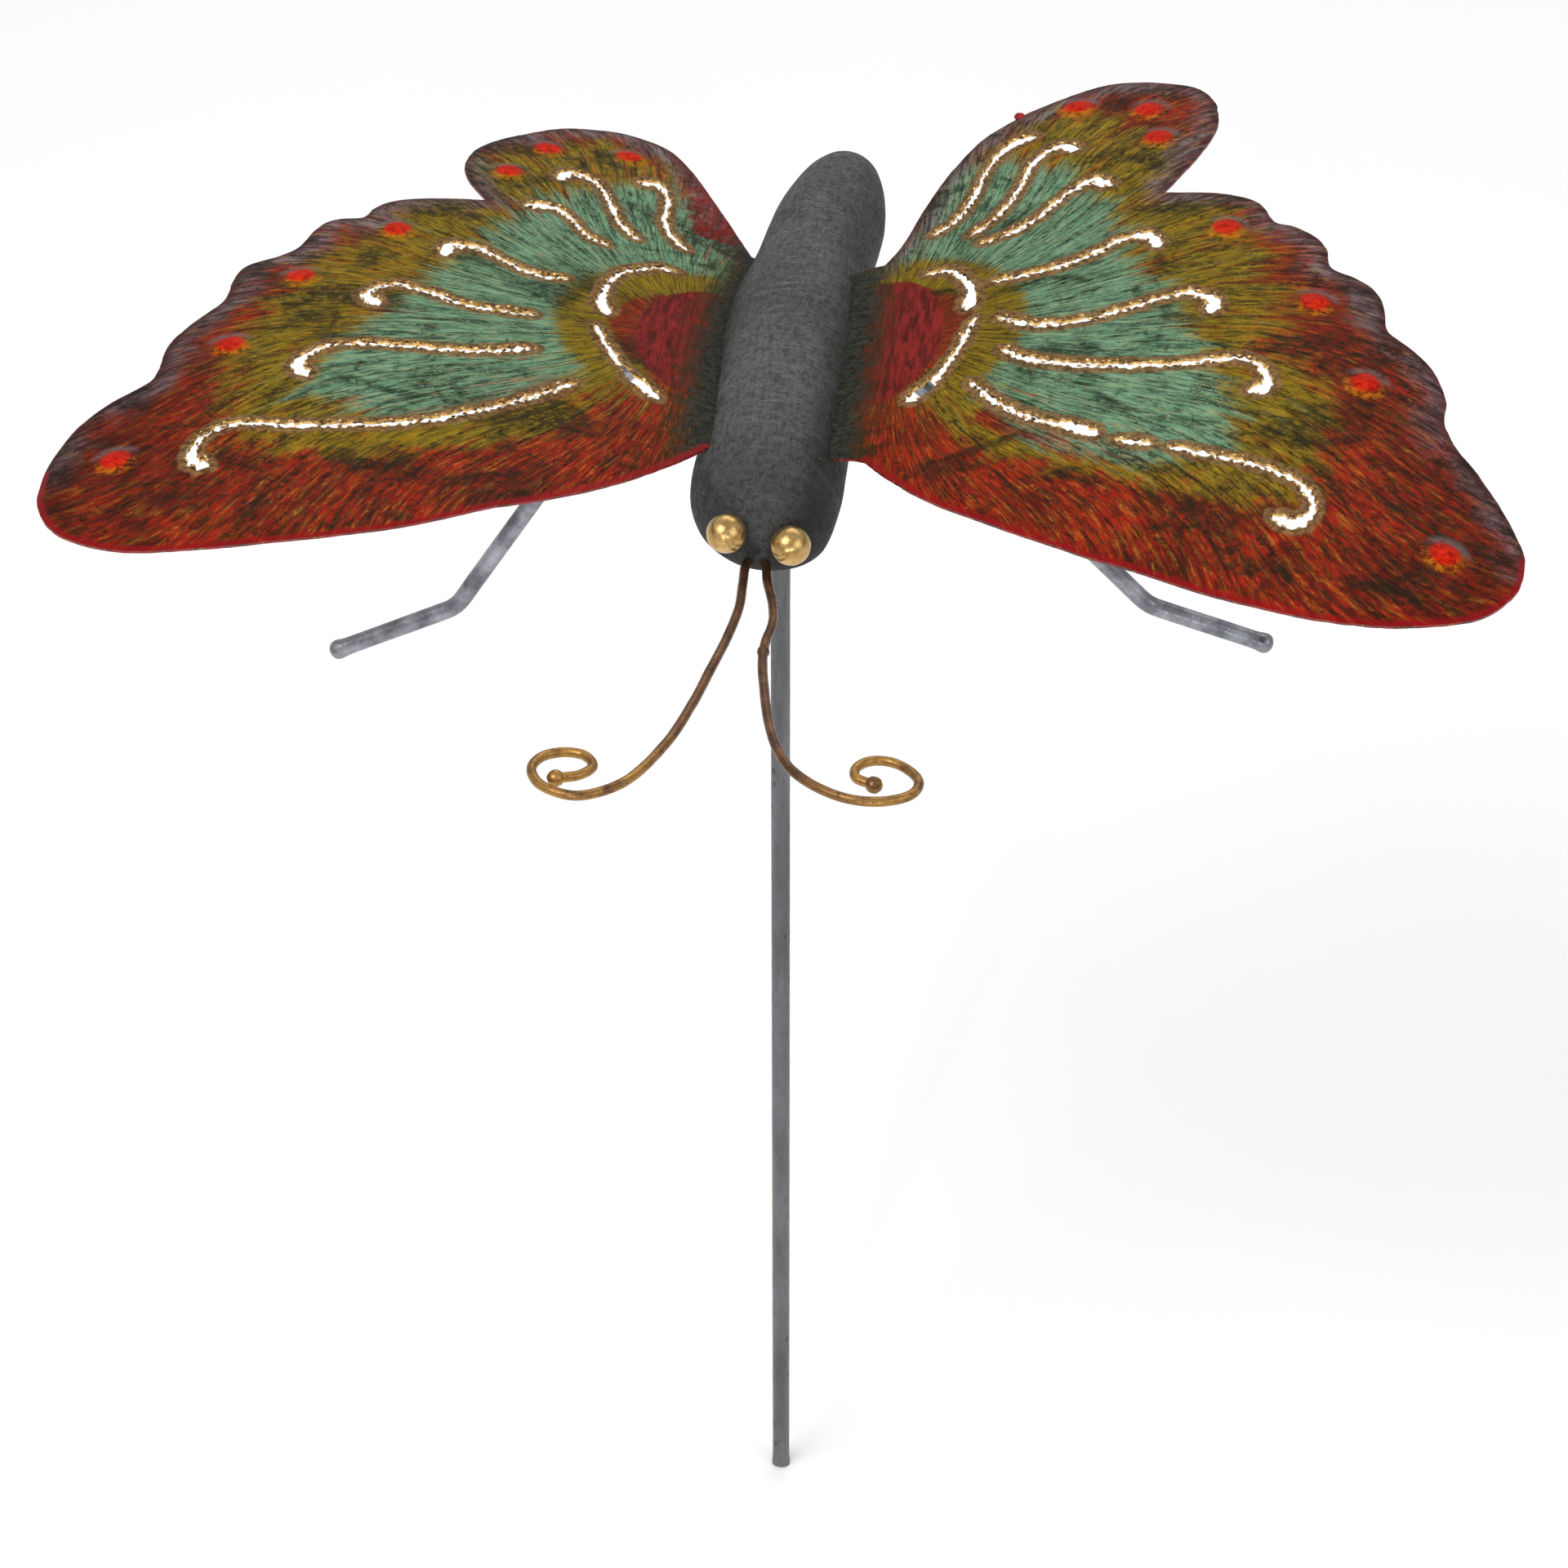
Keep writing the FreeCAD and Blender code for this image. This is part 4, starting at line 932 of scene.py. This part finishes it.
def build_body():
    prof = np.array(skin_profile())
    # fine profile by arc length
    line = smooth_line([(-47.8, 0.0)] + [tuple(p) for p in prof if p[1] > 0] + [(154.8, 0.0)], 1.15)
    # the two poles keep their exact place
    line = line[(line[:, 1] > 0.4) & (line[:, 0] > -47.75) & (line[:, 0] < 154.75)]
    keep = [np.array([-47.8, 0.0])]
    for p in line:
        if np.linalg.norm(p - keep[-1]) > 0.5:
            keep.append(p)
    line = np.array(keep + [np.array([154.8, 0.0])])
    seg = 168
    verts, faces, shade = [], [], []
    for i, (y, r) in enumerate(line):
        cx, cy, turn = body_axis(y)
        for k in range(seg):
            a = 2 * math.pi * k / seg
            ca, sa = math.cos(a), math.sin(a)
            q = Vector((ca * r / 22, sa * r / 22, y / 22))
            q2 = Vector((ca * r / 7, sa * r / 7, y / 7))
            d = 0.32 * noise.noise(q * 1.1) + 0.10 * noise.noise(q2)
            # weld lumps along the step on the back
            for (wy, wa, amp, w) in ((81.0, 78, 0.5, 2.6), (80.0, 95, 0.45, 2.2), (82.0, 112, 0.4, 2.4), (80.5, 62, 0.35, 2.4)):
                da = (math.degrees(a) - wa) * math.pi / 180 * max(r, 1)
                d += amp * math.exp(-((y - wy) ** 2 + da * da) / (2 * w * w))
            rr = max(r + d * min(1.0, r / 6.0), 0.0)
            x = rr * ca
            z = rr * sa
            verts.append(metres([cx + math.cos(turn) * x, cy - math.sin(turn) * x, BODY_Z + z]))
            # painted shade: the flanks are made nearly black, more so on the right, partly dark overspray and partly
            # shade; the head and the underside are darkened as painted shade
            rag = 0.10 * noise.noise(Vector((ca * 6, sa * 6, y / 4.0)))
            left_flank_spray_and_shade = float(sstep(np.array(-ca + rag), 0.66, 0.93)) * (0.78 if -22 < y < 88 else 0.30)
            right_flank_spray_and_shade = float(sstep(np.array(ca + rag), 0.30, 0.92)) * (0.90 if -26 < y < 80 else 0.42)
            underside_painted_shade = 1.0 if z < -3 else 0.0
            head_painted_shade = float(sstep(np.array(-y + 20 * rag), 8, 40)) * 0.60
            shade.append(min(1.0, left_flank_spray_and_shade + right_flank_spray_and_shade + underside_painted_shade * 0.5 + head_painted_shade))
    n = len(line)
    for i in range(n - 1):
        for k in range(seg):
            k2 = (k + 1) % seg
            faces.append((i * seg + k, i * seg + k2, (i + 1) * seg + k2, (i + 1) * seg + k))
    ob = mesh_object("body_skin", verts, faces, BODY_MAT)
    float_attr(ob.data, "shade", shade)
    bm = bmesh.new()
    bm.from_mesh(ob.data)
    bmesh.ops.remove_doubles(bm, verts=bm.verts, dist=2e-6)
    cut = (BODY_Z - BODY_CUT) * MM
    geom = bm.verts[:] + bm.edges[:] + bm.faces[:]
    bmesh.ops.bisect_plane(bm, geom=geom, plane_co=(0, 0, cut), plane_no=(0, 0, 1), clear_inner=True, clear_outer=False)
    bmesh.ops.recalc_face_normals(bm, faces=bm.faces)
    bm.to_mesh(ob.data)
    bm.free()
    sol = ob.modifiers.new("sheet", "SOLIDIFY")
    sol.thickness = 0.8 * MM
    sol.offset = -1.0
    sol.use_even_offset = False
    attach(ob, "butterfly")
    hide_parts("thorax_shell", "abdomen_shell")
    return ob


build_body()


# ------------------------------------------------------------ eyes
def bronze():
    m = Mat("eye_bronze")
    c = m.new("ShaderNodeTexCoord").outputs["Object"]
    a = m.noise(m.coord((260, 260, 260), c), 1.0, 5.0, 0.65)
    b = m.noise(m.coord((1700, 1700, 1700), c), 1.0, 3.0, 0.6)
    col = m.mix(m.step(a, 0.34, 0.66), srgb(168, 134, 80), srgb(206, 172, 112))
    col = m.mix(m.math("MULTIPLY", m.step(b, 0.58, 0.72), 0.3), col, srgb(92, 66, 34))
    nor = m.bump(m.math("ADD", a, m.math("MULTIPLY", b, 0.4)), 0.25, 0.0004)
    return m.out(color=col, rough=m.step(a, 0.3, 0.7, 0.20, 0.34), metal=0.92, normal=nor)


BRONZE = bronze()


def ball(name, centre, r, mat, rough_amp=0.01, seed=0.0, squash=(1, 1, 1), level=5):
    bm = bmesh.new()
    bmesh.ops.create_icosphere(bm, subdivisions=level, radius=1.0)
    c = metres(centre)
    for v in bm.verts:
        d = v.co.normalized()
        k = 1 + rough_amp * noise.noise(d * 2.2 + Vector((seed, 0, 0))) + 0.4 * rough_amp * noise.noise(d * 7 + Vector((seed, 3, 0)))
        v.co = Vector((c[0] + d.x * k * r * MM * squash[0], c[1] + d.y * k * r * MM * squash[1], c[2] + d.z * k * r * MM * squash[2]))
    me = bpy.data.meshes.new(name)
    bm.to_mesh(me)
    bm.free()
    me.materials.append(mat)
    me.polygons.foreach_set("use_smooth", [True] * len(me.polygons))
    ob = bpy.data.objects.new(name, me)
    bpy.context.scene.collection.objects.link(ob)
    return ob


for side, (x, y, z) in EYES.items():
    e = ball("eye_%s_bead" % side, (x, y, BODY_Z + z), 5.5, BRONZE, 0.012, 4.0 if side == "left" else 11.0)
    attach(e, "butterfly")
    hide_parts("eye_%s" % side)


# ------------------------------------------------------------ feelers
def copper():
    m = Mat("wire_copper")
    c = m.new("ShaderNodeTexCoord").outputs["Object"]
    al = m.attr("along")
    a = m.noise(m.coord((150, 150, 150), c), 1.0, 4.0, 0.6)
    b = m.noise(m.coord((900, 900, 900), c), 1.0, 3.0, 0.65)
    col = m.mix(m.step(a, 0.32, 0.66), srgb(84, 58, 44), srgb(124, 88, 58))
    # the curls are golden, the stems are browner
    gold = m.math("ADD", m.step(al, 0.105, 0.06), m.step(al, 0.29, 0.34), clamp=True)
    col = m.mix(m.math("MULTIPLY", gold, m.step(a, 0.25, 0.6)), col, srgb(168, 126, 66))
    col = m.mix(m.math("MULTIPLY", m.step(b, 0.56, 0.7), 0.6), col, srgb(48, 34, 26))
    nor = m.bump(m.math("ADD", a, m.math("MULTIPLY", b, 0.5)), 0.35, 0.0003)
    return m.out(color=col, rough=m.step(b, 0.3, 0.7, 0.28, 0.5), metal=0.8, normal=nor)


COPPER = copper()


def wire_radius(s, total):
    r = WIRE_R * MM * 0.97
    # a burr left on the right stem
    r += 0.45 * MM * math.exp(-((s - 0.2365) / 0.0011) ** 2)
    return r


wire = smooth_line([(x, y, BODY_Z + z) for x, y, z in FEELER_L + HOOK + FEELER_R], 0.8)
ant = sweep("feeler_wire", metres(wire), wire_radius, COPPER, seg=24, wobble=0.045, seed=2.0)
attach(ant, "butterfly")
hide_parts("antenna_wire")
for side, end, before in (("left", wire[0], wire[1]), ("right", wire[-1], wire[-2])):
    out = (end - before) / np.linalg.norm(end - before)
    t = ball("feeler_tip_%s" % side, tuple(end + out * 1.2), 2.25, COPPER, 0.05, 1.0 if side == "left" else 5.0, level=4)
    float_attr(t.data, "along", np.zeros(len(t.data.vertices)))
    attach(t, "butterfly")
    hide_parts("antenna_tip_%s" % side)


# ------------------------------------------------------------ bare steel rods
def steel():
    m = Mat("rod_steel")
    c = m.new("ShaderNodeTexCoord").outputs["Object"]
    al = m.attr("along")
    a = m.noise(m.coord((90, 90, 90), c), 1.0, 5.0, 0.6)
    b = m.noise(m.coord((700, 700, 700), c), 1.0, 4.0, 0.65)
    comb = m.new("ShaderNodeCombineXYZ")
    m.link(m.math("MULTIPLY", al, 70.0), comb.inputs[0])
    sc = m.noise(m.coord((1, 1, 1), comb.outputs[0]), 6.0, 6.0, 0.7)
    col = m.mix(m.step(a, 0.3, 0.7), srgb(96, 98, 104), srgb(162, 164, 170))
    col = m.mix(m.math("MULTIPLY", m.step(b, 0.56, 0.70), 0.5), col, srgb(84, 86, 92))
    col = m.mix(m.math("MULTIPLY", m.step(sc, 0.58, 0.7), 0.35), col, srgb(100, 100, 106))
    nor = m.bump(m.math("ADD", b, m.math("MULTIPLY", sc, 0.5)), 0.3, 0.0003)
    return m.out(color=col, rough=m.step(b, 0.3, 0.7, 0.24, 0.48), metal=0.9, normal=nor)


STEEL = steel()


def bent(pts, radius):
    """Dense points along straight runs joined by arcs."""
    P = [np.array(p, float) for p in pts]
    out = []
    start = P[0]
    for i in range(1, len(P) - 1):
        p, q, r = P[i - 1], P[i], P[i + 1]
        u = (p - q) / np.linalg.norm(p - q)
        w = (r - q) / np.linalg.norm(r - q)
        half = math.acos(max(-1, min(1, float(u.dot(w))))) / 2
        cut = radius / math.tan(half)
        a, b = q + u * cut, q + w * cut
        bis = (u + w) / np.linalg.norm(u + w)
        cen = q + bis * (radius / math.sin(half))
        k = max(2, int(np.linalg.norm(a - start) / 2.0))
        out += [start + (a - start) * j / k for j in range(k)]
        va, vb = a - cen, b - cen
        ang = math.acos(max(-1, min(1, float(va.dot(vb)) / radius ** 2)))
        k = max(4, int(ang * radius / 1.2))
        for j in range(k):
            s = j / k
            out.append(cen + (math.sin((1 - s) * ang) * va + math.sin(s * ang) * vb) / math.sin(ang))
        start = b
    k = max(2, int(np.linalg.norm(P[-1] - start) / 2.0))
    out += [start + (P[-1] - start) * j / k for j in range(k + 1)]
    return np.array(out)


for side, line in ARM.items():
    pts = [(x, ARM_Y, BODY_Z + z) for x, z in line]
    path = bent(pts, ARM_BEND)
    inner = 23.5 if side == "left" else 18.9
    path = np.array([p for p in path if abs(p[0]) > inner])
    # a rounded, slightly swelled end: carried on past the last point as a cap
    run = path[-1] - path[-2]
    run /= np.linalg.norm(run)
    tail = path[-1]
    core = [p for p in path[:-1]]
    ext = [tail - run * 2.4, tail - run * 1.6, tail - run * 0.8, tail, tail + run * 0.7, tail + run * 1.3, tail + run * 1.8, tail + run * 2.15, tail + run * 2.34]
    core = [p for p in core if np.linalg.norm(p - tail) > 3.0]
    full = np.array(core + ext)
    Ls = np.concatenate([[0], np.cumsum(np.linalg.norm(np.diff(full, axis=0), axis=1))]) * MM
    nb = len(core)
    tailr = {nb: 2.85, nb + 1: 3.0, nb + 2: 3.1, nb + 3: 3.08, nb + 4: 2.9, nb + 5: 2.5, nb + 6: 1.9, nb + 7: 1.15, nb + 8: 0.35}

    def arm_radius(s, total, Ls=Ls, tailr=tailr):
        i = int(np.abs(Ls - s).argmin())
        return tailr.get(i, ARM_R) * MM

    rod = sweep("rod_%s" % side, metres(full), arm_radius, STEEL, seg=40, wobble=0.02, seed=8.0 if side == "left" else 21.0)
    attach(rod, "butterfly")
    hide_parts("arm_%s" % side, "arm_end_%s" % side)


# ------------------------------------------------------------ stake
def stake_material():
    m = Mat("stake_paint")
    c = m.new("ShaderNodeTexCoord").outputs["Object"]
    a = m.noise(m.coord((120, 120, 26), c), 1.0, 5.0, 0.6)
    b = m.noise(m.coord((800, 800, 300), c), 1.0, 4.0, 0.65)
    v = m.voronoi(m.coord((260, 260, 120), c), 1.0)
    gate = m.noise(m.coord((90, 90, 40), c, (4, 1, 9)), 1.0, 2.0, 0.5)
    pit = m.math("MULTIPLY", m.step(v, 0.22, 0.12), m.step(gate, 0.52, 0.6))
    col = m.mix(m.step(a, 0.34, 0.66), srgb(72, 73, 76), srgb(98, 99, 102))
    col = m.mix(m.math("MULTIPLY", m.step(b, 0.54, 0.68), 0.4), col, srgb(66, 66, 68))
    col = m.mix(m.math("MULTIPLY", pit, 0.85), col, srgb(36, 35, 34))
    h = m.math("SUBTRACT", m.math("MULTIPLY", b, 0.4), pit)
    nor = m.bump(h, 0.5, 0.0004)
    nor = m.bump(a, 0.2, 0.001, nor)
    return m.out(color=col, rough=m.step(b, 0.3, 0.7, 0.36, 0.55), metal=0.1, normal=nor, spec=0.5)


STAKE_MAT = stake_material()
zs = list(np.linspace(0.0, 1.6, 5)) + list(np.arange(3.0, PIVOT_Z, 1.6))
top = PIVOT_Z
hemi = [(top + STAKE_R * math.sin(t), STAKE_R * math.cos(t)) for t in np.linspace(0, math.pi / 2 * 0.97, 9)]
prof = {}
path, rad = [], []
for z in zs:
    if z < top - 0.8:
        path.append((0.0, 0.0, z))
        flare = 0.22 * math.exp(-(z / 2.6) ** 2)
        rad.append(STAKE_R - 0.02 + flare if z < 12 else STAKE_R - 0.02)
for z, r in hemi:
    path.append((0.0, 0.0, z))
    rad.append(r - 0.02)
path = np.array(path)
SL = path[:, 2] - path[0, 2]


def stake_radius(s, total):
    return float(np.interp(s / MM, SL, rad)) * MM


stk = sweep("stake_rod", path * MM, stake_radius, STAKE_MAT, seg=48, wobble=0.0)
bm = bmesh.new()
bm.from_mesh(stk.data)
for v in bm.verts:
    z = v.co.z / MM
    if 6.0 < z < PIVOT_Z - 8:
        k = 1 - 0.012 * (1 + noise.noise(Vector((v.co.x * 300, v.co.y * 300, z / 7))))
        v.co.x *= k
        v.co.y *= k
    if z < 3.0:
        # the cutter left a shallow hollow across the end
        x = v.co.x / MM
        v.co.z += max(0.0, (1 - (x / 3.3) ** 2)) * 0.9 * MM * (1 - z / 3.0)
bm.to_mesh(stk.data)
bm.free()
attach(stk, "stake")
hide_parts("ground_stake")


# ------------------------------------------------------------ pieces that stay as they were made
def cup_steel():
    m = Mat("cup_steel")
    c = m.new("ShaderNodeTexCoord").outputs["Object"]
    a = m.noise(m.coord((300, 300, 300), c), 1.0, 5.0, 0.6)
    b = m.noise(m.coord((1600, 1600, 300), c), 1.0, 3.0, 0.6)
    col = m.mix(m.step(a, 0.35, 0.65), srgb(104, 104, 106), srgb(156, 156, 158))
    col = m.mix(m.math("MULTIPLY", m.step(b, 0.52, 0.68), 0.5), col, srgb(96, 74, 56))
    return m.out(color=col, rough=m.step(b, 0.3, 0.7, 0.3, 0.5), metal=0.9, normal=m.bump(b, 0.3, 0.0002))


def weld():
    m = Mat("weld_dark")
    c = m.new("ShaderNodeTexCoord").outputs["Object"]
    a = m.noise(m.coord((400, 400, 400), c), 1.0, 5.0, 0.6)
    b = m.noise(m.coord((1500, 1500, 1500), c), 1.0, 3.0, 0.6)
    col = m.mix(m.step(a, 0.35, 0.65), srgb(36, 36, 34), srgb(66, 65, 62))
    return m.out(color=col, rough=m.step(b, 0.3, 0.7, 0.45, 0.7), metal=0.2, normal=m.bump(m.math("ADD", a, b), 0.7, 0.0007))


CUP = cup_steel()
WELD = weld()
for name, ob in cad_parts.items():
    mat = None
    if name in ("pivot_cup", "rocker_saddle", "seat_cup"):
        mat = CUP
    elif name.startswith("weld_"):
        mat = WELD
    if mat is None:
        continue
    if not ob.material_slots:
        ob.data.materials.append(mat)
    for s in ob.material_slots:
        s.material = mat

# ------------------------------------------------------------ floor, light, camera
def floor_material():
    m = Mat("floor")
    c = m.new("ShaderNodeTexCoord").outputs["Object"]
    a = m.noise(m.coord((3, 3, 3), c), 1.0, 3.0, 0.5)
    col = m.mix(a, (0.965, 0.965, 0.965), (0.985, 0.985, 0.985))
    return m.out(color=col, rough=0.9, spec=0.1)


bpy.ops.mesh.primitive_plane_add(size=12.0, location=(0, 2.0, 0.0))
floor = bpy.context.active_object
floor.name = "studio_floor"
floor.data.materials.append(floor_material())

world = bpy.data.worlds.new("studio")
bpy.context.scene.world = world
world.use_nodes = True
bg = world.node_tree.nodes["Background"]
bg.inputs[0].default_value = (1.0, 1.0, 1.0, 1)
bg.inputs[1].default_value = 0.62
bpy.context.scene.view_settings.view_transform = "Standard"


def area(name, loc, target, size, power):
    d = bpy.data.lights.new(name, "AREA")
    d.shape = "RECTANGLE"
    d.size = size[0]
    d.size_y = size[1]
    d.energy = power
    o = bpy.data.objects.new(name, d)
    o.location = loc
    v = Vector(target) - Vector(loc)
    o.rotation_euler = v.to_track_quat("-Z", "Y").to_euler()
    bpy.context.scene.collection.objects.link(o)
    return o


area("key", (-1.0, -0.9, 2.2), (0, 0, 0.4), (1.2, 1.2), 22)
area("fill", (1.4, -0.9, 1.5), (0, 0, 0.4), (1.4, 1.4), 8)
area("back", (0.2, 1.6, 2.0), (0, 0, 0.4), (1.8, 1.0), 10)
area("front_l", (-0.30, -1.6, 0.75), (0, 0, 0.45), (0.10, 0.10), 3)
area("front_r", (0.30, -1.6, 0.75), (0, 0, 0.45), (0.10, 0.10), 3)

F_PX = 5000.0
pitch = math.atan(F_PX / 5943.0)
yaw = 0.1106
DIST = F_PX * 6.0 / 24.25
right = np.array([math.cos(yaw), math.sin(yaw), 0.0])
look = np.array([-math.sin(yaw) * math.cos(pitch), math.cos(yaw) * math.cos(pitch), -math.sin(pitch)])
aim = np.array([-SET_X, -SET_Y, 313.2 + 23.1]) + right * (1.5 * DIST / F_PX)
cam_data = bpy.data.cameras.new("camera")
cam_data.sensor_width = 36.0
cam_data.lens = F_PX / 1920.0 * 36.0
cam_data.clip_end = 50.0
cam = bpy.data.objects.new("camera", cam_data)
cam.location = Vector((aim - look * DIST) * MM)
cam.rotation_euler = Vector(look).to_track_quat("-Z", "Y").to_euler()
bpy.context.scene.collection.objects.link(cam)
bpy.context.scene.camera = cam

bpy.context.view_layer.update()
